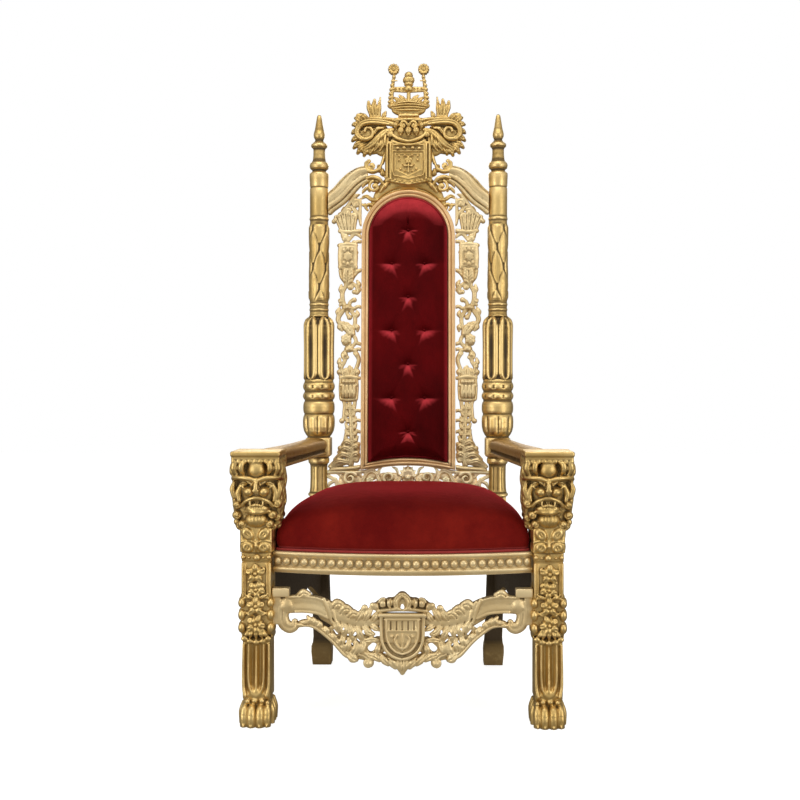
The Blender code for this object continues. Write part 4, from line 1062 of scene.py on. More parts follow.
def post_heights(count):
    """Heights of the rings, closer together where the outline turns or there is carving."""
    step = .0005
    fine = np.arange(0, POST_TOP + step / 5, step)
    width = np.interp(fine, *POST_OUTLINE.T)
    carved = ((fine > .68) & (fine < .87)) | ((fine > 1.03) & (fine < 1.35))
    plain = fine < .498
    for low, high in ((.632, .676), (.93, 1.01), (1.39, 1.5)):
        plain |= (fine > low) & (fine < high)
    pace = np.where(plain, .12, np.where(carved, 1.25, .9)) * step
    pace[1:] += 1.1 * np.abs(np.diff(width)) + .9 * np.abs(np.diff(np.gradient(width, step))) * .0008
    total = np.cumsum(pace)
    picks = np.interp(np.linspace(total[0], total[-1], count), total, fine)
    return np.concatenate([[0.0], picks[1:-1], [POST_TOP]])


def back_post_mesh(side):
    around = 72 if SCALE == 1 else 48
    angle = np.arange(around) * math.tau / around
    square = (np.abs(np.cos(angle)) ** 16 + np.abs(np.sin(angle)) ** 16) ** (-1 / 16)
    rings = []
    for z in post_heights(int(390 / SCALE)):
        half = np.interp(z, *POST_OUTLINE.T)
        squareness = np.interp(z, *POST_SQUARENESS.T)
        reach = half * ((1 - squareness) + squareness * square)
        reach = reach + post_relief(z, angle, side)
        forward = .022 * float(np.clip((.066 - z) / .008, 0, 1))
        rings.append(np.stack([side * post_spread(z) + reach * np.cos(angle),
                               post_lean(z) - forward + reach * np.sin(angle), np.full(around, z)], 1))
    mesh = lofted(rings)
    note_hollows(mesh, 900, 5, np.interp(coordinates(mesh)[:, 2], (.8, .86, 1.06, 1.1), (.14, .27, .27, .18)))
    # under the seat, the faces to the front and the middle get painted shade, a near-black brown, as they lie
    # in shadow there
    values, normals = hollows_of(mesh), normals_of(mesh)
    painted_shade_faces = np.maximum(-normals[:, 1], -side * normals[:, 0]) > .45
    height = coordinates(mesh)[:, 2]
    coat = np.interp(height, (.05, .07, .36, .44), (.34, .74, .74, -1.0))
    set_hollow(mesh, np.where(painted_shade_faces, np.maximum(values, coat), values))
    return mesh


def swept(path, outline):
    """A moulding: an outline of (out, up) points carried along a level path of (x, y) points.

    Out is to the right of the way the path runs. It keeps its true width round bends.
    """
    path = np.asarray(path, float)
    run = np.vstack([path[1:], path[-1]]) - np.vstack([path[0], path[:-1]])
    run /= np.hypot(run[:, 0], run[:, 1])[:, None]
    right = np.stack([run[:, 1], -run[:, 0]], 1)
    rings = []
    for point, normal in zip(path, right):
        rings.append([(point[0] + normal[0] * out, point[1] + normal[1] * out, up) for out, up in outline])
    return lofted(rings)


RAIL_FRONT = -.382  # the front rail's face at its middle
RAIL_BOW = .05  # how far its ends are behind its middle
RAIL_HALF = .3258  # half length, to the face of the front legs
BEAD_PITCH, BEAD_Z = .0235, .4055
# (out, up) from the back corner: top fillet, ovolo, beaded channel, cove, lower fillet
RAIL_OUTLINE = drawn(
    "-31 429.5, -4 429.8, -1.5 429, -0.2 427, -0.2 423.5, -1.2 421.5, -3 420.5, -4.8 419, -6.2 416.5, "
    "-7.5 414.5, -7.5 396.5, -6.2 394.5, -4.6 393, -3 391.5, -1.2 390.5, -0.2 388.5, -0.2 385, -1.5 382.5, "
    "-3.5 380.5, -5 378, -7.5 376.3, -31 376.3")


def beads_along(path, radius, out):
    """Half-sunk beads for a rail's channel, along a level path of (x, y) points, to its right by out."""
    path = np.asarray(path, float)
    steps = np.hypot(*np.diff(path, axis=0).T)
    along = np.concatenate([[0], np.cumsum(steps)])
    count = int(round((along[-1] - .006) / BEAD_PITCH))
    meshes = []
    bm = bmesh.new()
    bmesh.ops.create_uvsphere(bm, u_segments=20, v_segments=12, radius=1.0)
    unit = bpy.data.meshes.new("unit")
    bm.to_mesh(unit)
    bm.free()
    for index in range(count):
        share = (index + .5) / count * along[-1]
        x, y = (np.interp(share, along, path[:, axis]) for axis in (0, 1))
        x2, y2 = (np.interp(min(share + .002, along[-1]), along, path[:, axis]) for axis in (0, 1))
        x1, y1 = (np.interp(max(share - .002, 0), along, path[:, axis]) for axis in (0, 1))
        run = np.array([x2 - x1, y2 - y1]) / max(math.hypot(x2 - x1, y2 - y1), 1e-9)
        place = (x + run[1] * out, y - run[0] * out, BEAD_Z)
        stretch = 1 + .06 * math.sin(index * 2.3)
        meshes.append(moved(unit,
                            Matrix.Translation(place) @ Matrix.Diagonal((radius * stretch, radius, radius, 1))))
    return meshes


def front_rail_mesh():
    radius = (RAIL_HALF ** 2 + RAIL_BOW ** 2) / (2 * RAIL_BOW)
    sweep = math.asin(RAIL_HALF / radius)
    path = [(radius * math.sin(a), RAIL_FRONT + radius - radius * math.cos(a))
            for a in np.linspace(-sweep, sweep, 91)]
    # mitre the ends square to the legs
    rail = swept(path, RAIL_OUTLINE)
    points = coordinates(rail)
    points[:, 0] = np.clip(points[:, 0], -RAIL_HALF, RAIL_HALF)
    rail.vertices.foreach_set("co", points.ravel())
    whole = joined([rail, *beads_along(path, .0098, -.0068)])
    note_hollows(whole, 130, 3, -.03)
    return whole


def side_run(side, thick):
    """Ends of the middle line of a side board that clears the front leg and the back post."""
    front = Vector((side * (LEG_X - .014), LEG_Y + LEG_HALF + GAP))
    back = Vector((side * (POST_SEAT_X - .003), POST_Y - .026 - GAP))
    run = back - front
    corner = abs(run.x / run.y) * thick / 2
    return front + Vector((0, corner)), back - Vector((0, corner))


def side_rail_mesh(side):
    start, end = side_run(side, .032)
    if side < 0:
        start, end = end, start  # the moulded face is on the right of the path
    run = (start - end).normalized()
    right = Vector((-run.y, run.x))
    path = [tuple(start.lerp(end, share) + right * .016) for share in np.linspace(0, 1, 41)]
    rail = swept(path, RAIL_OUTLINE)
    whole = joined([rail, *beads_along(path, .008, -.0062)])
    note_hollows(whole, 420, 3)
    return whole


def back_rail_mesh():
    """Plain rail with rounded edges and a scratched line, as the back of the seat is not dressed."""
    half = .244  # to the posts' faces
    outline = drawn("-17.5 426.5, -15 429.8, 15 429.8, 17.8 427, 17.8 419, 16.6 418, 16.6 416, 17.8 415, "
                    "17.8 379, 15.5 376.3, -15.5 376.3, -17.5 379")
    path = [(x, POST_Y) for x in np.linspace(half, -half, 33)]
    mesh = swept(path, outline)
    note_hollows(mesh, 420, 3)
    return mesh


def arm_mesh(side):
    """Broad moulded rail with a domed top, and reeds and a bead along its sides."""
    low, top = .632, .684
    front_y, back_y = LEG_Y + .055 + .0003, post_lean(low) - .038 - GAP
    outline = [(-.033, low + .0003), (.033, low + .0003), (.0352, low + .0012), (.0362, low + .0035),
               (.036, low + .0068), (.0335, low + .0085), (.0318, low + .012), (.0322, low + .017),
               (.0345, low + .02), (.0348, low + .0222), (.036, low + .0238), (.0369, low + .027),
               (.0369, low + .033), (.036, low + .0372), (.0338, low + .0408), (.03, low + .0442),
               (.0245, low + .0474), (.0175, low + .0498), (.009, low + .0512)]
    outline = outline + [(0.0, top)] + [(-x, z) for x, z in outline[::-1][:-2]]
    rings = []
    for share in np.linspace(0, 1, 121):
        y = front_y + (back_y - front_y) * share
        x = (LEG_X - .018) + (POST_TOP_X - .3465) * share
        ring = []
        for across, z in outline:
            wave = 0.0
            if low + .0085 < z < low + .021:
                wave = .0016 * math.cos(share * math.tau * 22)
            grow = 1 - .05 * math.sin(math.pi * share)
            ring.append((side * x + (across - math.copysign(wave, across)) * grow * side, y,
                         z - (.002 * (1 - math.cos(math.tau * share)) / 2 if z > low + .02 else 0)))
        rings.append(ring)
    mesh = lofted(rings)
    if side < 0:
        mesh.flip_normals()
    return tidied(mesh, 500, 3)


# the panel's opening: half width, bottom at the sides, where the arch springs, rise of the bottom
PAD_HALF, PAD_LOW, PAD_SPRING, PAD_SAG = .122, .6065, 1.312, .015
FRAME_WIDTH = .0235


def arch_points(half, low, arc=96, straight=60, base=40):
    """Points round a panel with a round top and a bottom edge that rises in the middle."""
    points = [(half * math.cos(a), PAD_SPRING + half * math.sin(a)) for a in np.linspace(0, math.pi, arc)[:-1]]
    points += [(-half, z) for z in np.linspace(PAD_SPRING, low, straight)[:-1]]
    points += [(half * s, low + PAD_SAG * (1 - s * s)) for s in np.linspace(-1, 1, base)[:-1]]
    points += [(half, z) for z in np.linspace(low, PAD_SPRING, straight)[:-1]]
    return np.array(points)


def back_frame_mesh():
    """Arched moulding in two bands with a quirk between them, upright about y = 0."""
    outline = drawn("0 19.8, 0 -14, 0.6 -17.2, 2.2 -19.2, 5 -20, 8.5 -19.7, 10.8 -18.4, 11.6 -16.2, 12 -14.8, "
                    "13 -15, 13.6 -17.2, 15.2 -18.4, 18 -17.8, 20.8 -16, 22.4 -13.6, 23.2 -11, 23.8 -6, "
                    "23.8 16.2, 26.4 16.4, 26.4 19.8")
    rings = []
    for inward, y in outline:
        edge = arch_points(PAD_HALF + FRAME_WIDTH - inward, PAD_LOW - FRAME_WIDTH + inward)
        rings.append([(x, y, z) for x, z in edge])
    rings.append(rings[0])
    mesh = tidied(lofted(rings, caps=False), 200, 3, weld=1e-5)
    # the back of the moulding is flat and evenly glazed
    set_hollow(mesh, np.where(coordinates(mesh)[:, 1] > .015, .17, hollows_of(mesh)))
    return mesh


TOP_BUTTON, ROW_PITCH, BUTTON_X = 1.326, .1045, .051
BUTTON_ROWS = [[(x, TOP_BUTTON - ROW_PITCH * row) for x in ((0.0,), (-BUTTON_X, BUTTON_X))[row % 2]]
               for row in range(7)]
BUTTONS = [place for row in BUTTON_ROWS for place in row]


def pad_folds():
    """Lines of the pleats, as pairs of (x, z): between buttons, and out to the edge."""
    folds = []
    for upper, lower in zip(BUTTON_ROWS, BUTTON_ROWS[1:]):
        folds += [(a, b) for a in upper for b in lower]
    for x, z in (place for row in BUTTON_ROWS[1::2] for place in row):
        folds.append(((x, z), (math.copysign(.122, x), z + .004)))
    top, foot = BUTTONS[0], BUTTONS[-1]
    folds.append((top, (.002, 1.431)))
    for side in (-1, 1):
        folds.append((foot, (side * .06, .612)))
    return folds


def pad_front(x, z, edge):
    """How far the tufted face stands ahead of the frame's middle plane.

    Edge is the distance in from the border.
    """
    dome = np.clip(edge / np.interp(z, (1.34, 1.4), (.05, .066)), 0, 1)
    dome = np.sin(dome * math.pi / 2) ** .8
    crease = np.zeros_like(x)
    for (ax, az), (bx, bz) in pad_folds():
        run = np.array([bx - ax, bz - az])
        t = ((x - ax) * run[0] + (z - az) * run[1]) / (run @ run)
        near = np.hypot(x - ax - np.clip(t, 0, 1) * run[0], z - az - np.clip(t, 0, 1) * run[1])
        ends = .34 + .66 * np.abs(2 * np.clip(t, 0, 1) - 1) ** 1.4
        crease = np.maximum(crease, np.exp(-(near / .0085) ** 1.25) * ends)
    dip, pinch = np.zeros_like(x), np.zeros_like(x)
    for bx, bz in BUTTONS:
        away = np.hypot((x - bx) * .74, (z - bz) * 1.22)
        dip = np.maximum(dip, np.exp(-(away / .0145) ** 1.1))
        # short pinch to each side of the button, sagging a little
        beside = np.abs(x - bx)
        sag = z - bz - .0045 + .22 * beside - 3.0 * beside * beside
        pinch = np.maximum(pinch, np.exp(-(sag / .0034) ** 2) * np.exp(-(beside / .021) ** 2))
    # small gathers that run into each button
    gather = np.zeros_like(x)
    for index, (bx, bz) in enumerate(BUTTONS):
        away = np.hypot(x - bx, z - bz)
        turn = np.arctan2(z - bz, x - bx)
        gather += np.exp(-(((away - .02) / .01) ** 2)) * np.cos(11 * turn + index)
    # the cloth is folded upright over the top button
    dip = np.maximum(dip, .5 * np.exp(-((x + .001) / .0036) ** 2) * np.exp(-((z - 1.348) / .015) ** 2))
    front = .0115 + .03 * dome - .0078 * crease * dome - .019 * dip - .005 * pinch * dome - .0004 * gather
    return np.maximum(front, .002)


def back_pad_mesh():
    """Deep-buttoned front, an edge that turns down into the frame, and a plain panel behind; upright about y =
    0.
    """
    arc, straight, base = (136, 160, 66) if SCALE == 1 else (100, 110, 50)
    half, low = PAD_HALF - .0006, PAD_LOW + .0006
    outline = arch_points(half, low, arc=arc, straight=straight, base=base)
    spine = np.clip(outline[:, 1], PAD_LOW + .11, PAD_SPRING)
    rings = []
    steps = 52 if SCALE == 1 else 36
    # front, from the middle out
    for step in range(steps, 0, -1):
        share = 1 - (step / steps) ** 1.05
        x = outline[:, 0] * share
        z = spine + (outline[:, 1] - spine) * share
        reach = np.minimum(np.hypot(outline[:, 0] - x, outline[:, 1] - z), half * (1 - share) + 0.0)
        front = pad_front(x, z, reach)
        front = front + .0003 * np.sin(x * 110 + z * 50) * np.sin(z * 90 - x * 40)
        rings.append(np.stack([x, -front, z], 1))
    # the edge turns down into the frame
    for share, y in ((1.0, -.0095), (1.0, 0.0), (1.0, .013)):
        rings.append(np.stack([outline[:, 0] * share, np.full(len(outline), y),
                               spine + (outline[:, 1] - spine) * share], 1))
    # plain cloth behind, a little full
    for share in (.985, .93, .8, .55, .25, 0.0):
        x, z = outline[:, 0] * share, spine + (outline[:, 1] - spine) * share
        y = .015 + .005 * math.cos(share * math.pi / 2) + .0004 * np.sin(z * 70)
        rings.append(np.stack([x, y, z], 1))
    return tidied(lofted(rings, caps=False), 260, 4, weld=4e-5)


def cord_round(outline, depth, radius, around=8):
    """Piping: a thin closed tube that follows an outline of (x, z) points at a given depth."""
    ahead, behind = np.roll(outline, -1, 0), np.roll(outline, 1, 0)
    run = ahead - behind
    run /= np.hypot(run[:, 0], run[:, 1])[:, None]
    normal = np.stack([run[:, 1], -run[:, 0]], 1)
    rings = []
    for index in range(around):
        turn = math.tau * index / around
        out, deep = radius * math.cos(turn), radius * math.sin(turn)
        rings.append(np.stack([outline[:, 0] + normal[:, 0] * out, np.full(len(outline), depth + deep),
                               outline[:, 1] + normal[:, 1] * out], 1))
    rings.append(rings[0])
    return lofted(rings, caps=False)


def pad_piping_mesh():
    outline = arch_points(PAD_HALF - .0036, PAD_LOW + .0036, arc=110, straight=120, base=60)
    return tidied(cord_round(outline, -.0158, .0028), 100, 1, weld=1e-6)


def button_meshes():
    """Covered buttons: low domes with a tucked rim."""
    profile = ((0, -.0046), (.3, -.0044), (.58, -.0037), (.8, -.0025), (.94, -.001), (1, .0006), (.96, .0022),
               (.8, .0034))
    made = []
    for index, (x, z) in enumerate(BUTTONS):
        seat = float(pad_front(np.array([x]), np.array([z]), np.array([.05]))[0])
        rings = []
        for out, y in profile:
            ring = []
            for step in range(28):
                turn = math.tau * step / 28
                crimp = 1 + .02 * math.cos(7 * turn + index) * out
                ring.append((x + .0098 * max(out, .02) * crimp * math.cos(turn), y - seat - .0016,
                             z + .0098 * max(out, .02) * crimp * math.sin(turn)))
            rings.append(ring)
        made.append(lofted(rings))
    return tidied(joined(made), 200, 2)


CUSHION_LOW, CUSHION_TOP = .4303, .572  # its underside, on the rails, and the middle of its crown


def cushion_plan(v):
    """Half width of the seat cushion at a share v of its depth from front to back."""
    return .321 + (.264 - .321) * v ** 1.6


def cushion_place(u, v, inset, z):
    """A point of the cushion at shares u, v of its plan, moved in by inset."""
    front_y = RAIL_FRONT + RAIL_BOW + .0065 - RAIL_BOW * (1 - u * u) + inset
    return np.stack([u * (cushion_plan(v) - inset), front_y + (.213 - inset - front_y) * v, z], -1)


def border_loop():
    """Shares u, v of the cushion's plan along its border."""
    turn = np.arange(320) / 320 * 4
    u = np.select([turn < 1, turn < 2, turn < 3], [2 * turn - 1, np.ones(320), 5 - 2 * turn], -1.0)
    v = np.select([turn < 1, turn < 2, turn < 3], [np.zeros(320), turn - 1, np.ones(320)], 4 - turn)
    return u, v


def welt_mesh():
    """Closed cord sewn along the foot of the cushion's border."""
    u, v = border_loop()
    thick, rings = .0034, []
    for step in range(8):
        turn = math.tau * step / 8
        rings.append(cushion_place(u, v, .005 - thick * math.cos(turn),
                                   np.full(len(u), CUSHION_LOW + .0035 + thick * math.sin(turn))))
    rings.append(rings[0])
    return tidied(lofted(rings, caps=False), 100, 1, weld=1e-6)


def cushion_form():
    """A deep sprung seat: upright border, rounded shoulder and a full crown, bowed at the front."""
    across, along = 84, 72
    us = np.sin(np.linspace(-1, 1, across + 1) * math.pi / 2 * .86) / math.sin(math.pi / 2 * .86)
    vs = .5 + .5 * np.sin(np.linspace(-1, 1, along + 1) * math.pi / 2 * .86) / math.sin(math.pi / 2 * .86)
    u, v = np.meshgrid(us, vs)

    def crown(u, v):
        return (1 - np.abs(u) ** 3.4) ** .62 * (1 - np.abs(2 * v - 1) ** 3.4) ** .62

    edge = .074  # height of the border
    height = CUSHION_LOW + edge + (CUSHION_TOP - CUSHION_LOW - edge) * crown(u, v)
    top = cushion_place(u, v, .0155, height)
    points = [top.reshape(-1, 3)]
    index = np.arange(top.shape[0] * top.shape[1]).reshape(top.shape[:2])
    quads = [np.stack([index[:-1, :-1], index[:-1, 1:], index[1:, 1:], index[1:, :-1]], -1).reshape(-1, 4)]
    rim = np.concatenate([index[0], index[1:, -1], index[-1, -2::-1], index[-2:0:-1, 0]])
    rim_u, rim_v = u.ravel()[rim], v.ravel()[rim]
    last = rim
    start = index.size
    # border: swells a little at its middle, and is drawn in by the tacking line over the rail
    for drop, out in ((.9, .0115), (.74, .006), (.55, .0022), (.36, .0008), (.2, .0022), (.08, .0052),
                      (0, .0085)):
        ring = cushion_place(rim_u, rim_v, out, np.full(len(rim), CUSHION_LOW + edge * drop))
        points.append(ring)
        now = np.arange(len(rim)) + start
        start += len(rim)
        quads.append(np.stack([last, np.roll(last, -1), np.roll(now, -1), now], -1)[:, ::-1])
        last = now
    bottom = cushion_place(u, v, .01, np.full_like(u, CUSHION_LOW))
    inner = np.arange(index.size) + start
    points.append(bottom.reshape(-1, 3))
    grid = inner.reshape(index.shape)
    quads.append(np.stack([grid[:-1, :-1], grid[1:, :-1], grid[1:, 1:], grid[:-1, 1:]], -1).reshape(-1, 4))
    low_rim = np.concatenate([grid[0], grid[1:, -1], grid[-1, -2::-1], grid[-2:0:-1, 0]])
    quads.append(np.stack([last, np.roll(last, -1), np.roll(low_rim, -1), low_rim], -1)[:, ::-1])
    mesh = mesh_from(np.vstack(points), np.vstack(quads))
    return tidied(mesh, 150, 3)


def puffed(mesh, voxel, pressure, cap, frames=20):
    """The mesh blown up as stuffed cloth, no point moving more than cap, with the simulation worked in."""
    scene = bpy.context.scene
    item = bpy.data.objects.new("stuffing", mesh.copy())
    scene.collection.objects.link(item)
    item.data.remesh_voxel_size = voxel
    bpy.context.view_layer.objects.active = item
    item.select_set(True)
    bpy.ops.object.voxel_remesh()
    before = coordinates(item.data)
    cloth = item.modifiers.new("cloth", "CLOTH")
    cloth.settings.use_pressure = True
    cloth.settings.uniform_pressure_force = pressure
    cloth.settings.effector_weights.gravity = 0
    cloth.settings.quality = 4
    cloth.settings.tension_stiffness = 18
    cloth.settings.compression_stiffness = 18
    cloth.settings.bending_stiffness = 1.2
    cloth.point_cache.frame_start, cloth.point_cache.frame_end = 1, frames
    for step in range(1, frames + 1):
        scene.frame_set(step)
    after_mesh = applied(item)
    after = coordinates(after_mesh)
    shift = after - before
    length = np.linalg.norm(shift, axis=1, keepdims=True)
    shift *= np.minimum(1, cap / np.maximum(length, 1e-9))
    after_mesh.vertices.foreach_set("co", (before + shift).ravel())
    bpy.data.objects.remove(item)
    scene.frame_set(1)
    after_mesh.shade_smooth()
    return after_mesh


def seat_deck_mesh():
    """Webbed deck that closes the seat between the rails, with a plain cloth drawn tight under it."""
    corners = drawn("322.5 -300, 332 -274, 255 215, 243 224")
    plan = [(x, y) for x, y in corners] + [(-x, y) for x, y in reversed(corners)]
    edge = []
    for (ax, ay), (bx, by) in zip(plan, plan[1:] + plan[:1]):
        edge += [(ax + (bx - ax) * share, ay + (by - ay) * share) for share in np.linspace(0, 1, 25)[:-1]]
    edge, middle = np.array(edge), np.array((0.0, -.036))
    rings = []
    for share, z in ((0.0, .429), (.6, .429), (.985, .4288), (1.0, .427), (1.0, .415), (.985, .4128),
                     (.93, .4118), (.8, .4096), (.6, .4076), (.35, .4064), (0.0, .406)):
        spot = middle + (edge - middle) * share
        sag = .001 * np.sin(spot[:, 0] * 42) * np.sin(spot[:, 1] * 37) if share < .95 and z < .42 else 0.0
        rings.append(np.stack([spot[:, 0], spot[:, 1], np.full(len(edge), z) + sag], 1))
    return tidied(lofted(rings, caps=False), 100, 1, weld=1e-5)


def seat_cushion_mesh():
    """The form blown up as stuffed cloth, then settled back on the rails and into its own space."""
    form = cushion_form()
    mesh = puffed(form, .0075, 4, .012)
    want, have = coordinates(form), coordinates(mesh)
    have[:, 2] = np.maximum(have[:, 2], CUSHION_LOW)
    low, high = have.min(0), have.max(0)
    have = want.min(0) + (have - low) / (high - low) * (want.max(0) - want.min(0))
    mesh.vertices.foreach_set("co", have.ravel())
    item = bpy.data.objects.new("settling", mesh)
    bpy.context.scene.collection.objects.link(item)
    smooth = item.modifiers.new("smooth", "SMOOTH")
    smooth.factor, smooth.iterations = .5, 12
    mesh = applied(item)
    bpy.data.objects.remove(item)
    return tidied(mesh, 150, 3)


def flat_path(points, side=1.0, y=0.0):
    return [(side * x, y, z) for x, z in points]


def curl(clay, side, centre, radius, turns, start, thick, y=0.0, way=1, flat=.85, eye=1.3):
    """A scroll placed by its right-hand version and mirrored for side -1."""
    if side < 0:
        start, way = math.pi - start, -way
    scroll(clay, (side * centre[0], centre[1]), radius, turns, start, thick, y=y, way=way, flat=flat, eye=eye)


def acanthus(clay, side, points, width, **settings):
    leaf(clay, [(side * x, z) for x, z in points], width, **settings)


def crest_mesh():
    """Shield under a fan of leaves, between masses of curled mantling with plumes on top."""
    clay = Clay((-.186, -.044, 1.386), (.186, .028, 1.764), .0016)
    # base that rides on the arch, and the board behind the shield
    for side in (-1, 1):
        clay.stroke(drawn("0 1 1484, 50 1 1476, 80 1 1456, 100 1 1430, 116 1 1404", side), "34 30 22 13.5 8.5",
                    soft=0.0, flat=.46)
        clay.press(drawn("20 1465.5, 55 1456, 86 1436, 108 1410", side), .0026, .0036)
        # leaves that fill the corner between the arch and the yoke
        for points, radii in ((drawn("98 1428, 116 1430, 132 1440, 148 1434"), "5.2 6.6 6 4.4"),
                              (drawn("108 1408, 122 1414, 134 1410, 148 1414"), "4.4 5.8 5 4.4"),
                              (drawn("96 1486, 116 1490, 134 1483, 148 1470"), "6.6 6.4 6 5.6"),
                              (drawn("122 1456, 130 1466, 142 1456, 148 1450"), "3.6 5.6 5 4"),
                              (drawn("128 1396, 134 1404, 136 1416"), "4 5 3")):
            clay.stroke(flat_path(points, side, y=-.003), radii, soft=.001, flat=1.3)
        clay.press(drawn("102 1429, 116 1430, 132 1439.5, 146 1434", side), .0024, .0026)
    clay.block((-.0735, -.022, 1.48), (.0735, .018, 1.612), edge=.005, soft=.003)
    clay.ball((0, -.004, 1.486), (.066, .02, .026), soft=.004)
    clay.block((-.052, -.014, 1.598), (.052, .016, 1.688), edge=.006, soft=.004)
    # shield: two flutes each side, inner field with a pointed foot, lozenges above and below
    for side in (-1, 1):
        for x in (.0665, .056):
            clay.stroke([(side * x, -.0235, 1.4965), (side * x, -.025, 1.55), (side * x, -.0235, 1.601)], .004,
                        soft=.0008)
        clay.stroke(drawn("61 -22.5 1498, 61 -22.5 1600", side), .002, soft=0.0, cut=True)
        clay.stroke(drawn("49 -23 1600, 49 -24 1512, 30 -24 1498, 0 -24 1490", side), .0024, soft=.0008,
                    steps=5)
        clay.stroke(drawn("72.5 -20 1497, 50 -21.5 1483, 0 -22.5 1473.5", side), .004, soft=.001)
        for x, z in drawn("13.5 1588.5, 33.5 1587"):
            clay.ball((side * x, -.0265, z), (.0062, .0045, .0048), soft=.0006)
        for x, z in drawn("56 1490.5, 42 1486.8, 27 1483.5, 12 1480.5"):
            clay.ball((side * x, -.024, z), (.0056, .0045, .0042), turn=side * .3, soft=.0006)
    clay.stroke(drawn("-47 -23.5 1578.5, 0 -24.5 1578, 47 -23.5 1578.5"), .0022, soft=.0008)
    clay.stroke(drawn("-47 -23.5 1598.5, 0 -24.5 1599, 47 -23.5 1598.5"), .0026, soft=.0008)
    field = drawn("-41 1571, 41 1571, 41 1520, 0 1499, -41 1520, -41 1571")
    for start, end in zip(field, field[1:]):
        clay.stroke([(start[0], -.0225, start[1]), (end[0], -.0225, end[1])], .0018, soft=.0006)
    clay.dent((0, 1.545), (.038, .03), .0012)
    # charge: a flower on a stalk with four leaves, and small lozenges about it
    rosette(clay, 0.0, -.022, 1.5505, .0125, petals=5, depth=.42)
    for side in (-1, 1):
        clay.stroke(drawn("0 -22.5 1534, 10 -26.5 1531, 19 -22.5 1538", side), "1.8 3.6 1.2", soft=.0006)
        clay.stroke(drawn("4 -22.5 1564, 12 -25.5 1565.5, 17 -22.5 1561", side), "1.4 2.6 1", soft=.0006)
        for x, z in drawn("24 1522, 29 1550, 29 1564, 12 1516"):
            clay.ball((side * x, -.0235, z), (.0036, .0032, .0042), turn=.7, soft=.0006)
    clay.stroke(drawn("0 -22.5 1540, 0 -25 1512"), "2 2.6", soft=.0006)
    # mantling
    for side in (-1, 1):
        clay.ball((side * .108, 0.0, 1.632), (.056, .013, .046), soft=.006)
        clay.ball((side * .136, 0.0, 1.645), (.036, .013, .044), soft=.005)
        clay.ball((side * .08, 0.0, 1.604), (.03, .013, .036), soft=.005)
        clay.ball((side * .122, 0.0, 1.596), (.04, .012, .022), soft=.005)
        # leaf tips round the outer edge, each a broad smooth lobe that turns over at its end
        tips = (((.126, 1.68), (.14, 1.694), (.152, 1.704), .009),
                ((.14, 1.672), (.158, 1.684), (.168, 1.691), .0095),
                ((.15, 1.66), (.166, 1.668), (.1755, 1.669), .0095),
                ((.15, 1.642), (.168, 1.646), (.177, 1.642), .0095),
                ((.148, 1.626), (.166, 1.624), (.1765, 1.618), .01),
                ((.142, 1.612), (.16, 1.604), (.172, 1.595), .01),
                ((.134, 1.602), (.15, 1.59), (.16, 1.578), .01),
                ((.122, 1.598), (.134, 1.582), (.14, 1.57), .0095),
                ((.108, 1.6), (.118, 1.584), (.121, 1.573), .0085))
        for root, bend, tip, r in tips:
            clay.stroke([(side * root[0], -.008, root[1]), (side * bend[0], -.0125, bend[1]),
                         (side * tip[0], -.005, tip[1])], [r * .85, r, r * .55], soft=.002, flat=.95)
            clay.press([(side * root[0], root[1]), (side * bend[0], bend[1]),
                        (side * (tip[0] + bend[0]) / 2, (tip[1] + bend[1]) / 2)], .0034, .0036)
        # small curl turned over at the outer top corner
        curl(clay, side, (.156, 1.696), .0105, 1.0, 3.9, .0036, y=-.012, way=1, eye=1.2)
        # great smooth leaf: out from the neck, over, down and in to its eye
        sweep = drawn("36 1664, 62 1669, 92 1673, 122 1674, 146 1668, 160 1653, 161 1635, 149 1621, 131 1618, "
                      "116 1627, 112 1642, 120 1654, 133 1654, 138 1644")
        clay.stroke([(side * x, -.0165 - .003 * min(1, index / 6), z) for index, (x, z) in enumerate(sweep)],
                    "7 9 10.8 11 10.2 9.2 8.6 8 7 6 5.2 4.6 4.4 5", soft=.0012, flat=.95)
        clay.press([(side * x, z) for x, z in sweep[1:8]], .004, .003)
        clay.press([(side * x, z - .0005) for x, z in drawn("60 1660, 90 1662, 118 1661, 134 1660")], .003,
                   .005)
        # folds of the leaf inside the turn
        clay.stroke(drawn("80 -15 1656, 98 -18.5 1652, 106 -17 1638", side), "4 6.2 3.4", soft=.0012)
        # lower leaf: down from the neck and out, with three lobes under it
        clay.stroke(drawn("50 -14 1650, 78 -17.5 1640, 98 -19.5 1618, 120 -18.5 1598, 146 -14 1586", side),
                    "7 9.2 11.2 10 5", soft=.0014, flat=.9)
        clay.press(drawn("60 1648, 80 1637, 99 1616, 121 1596, 142 1587", side), .004, .0034)
        for points, r in ((drawn("88 1620, 94 1601, 106 1586"), .0085),
                          (drawn("76 1625, 80 1603, 90 1585"), .008),
                          (drawn("66 1630, 68 1608, 74 1590"), .0065)):
            clay.stroke([(side * x, y, z) for (x, z), y in zip(points, (-.013, -.0175, -.012))],
                        [r * .8, r, r * .5], soft=.0012, flat=.9)
            clay.press([(side * x, z) for x, z in points], .0028, .003)
        # ledge along the top
        clay.stroke(drawn("36 -8 1682, 70 -10 1686, 120 -8 1690", side), "5 6 5", soft=.002)
        # gap between the mantling and the shield's volute
        clay.ball((side * .1045, 0.0, 1.557), (.01, .06, .0085), soft=.001, cut=True)
        clay.ball((side * .0875, 0.0, 1.556), (.004, .06, .0052), soft=.001, cut=True)
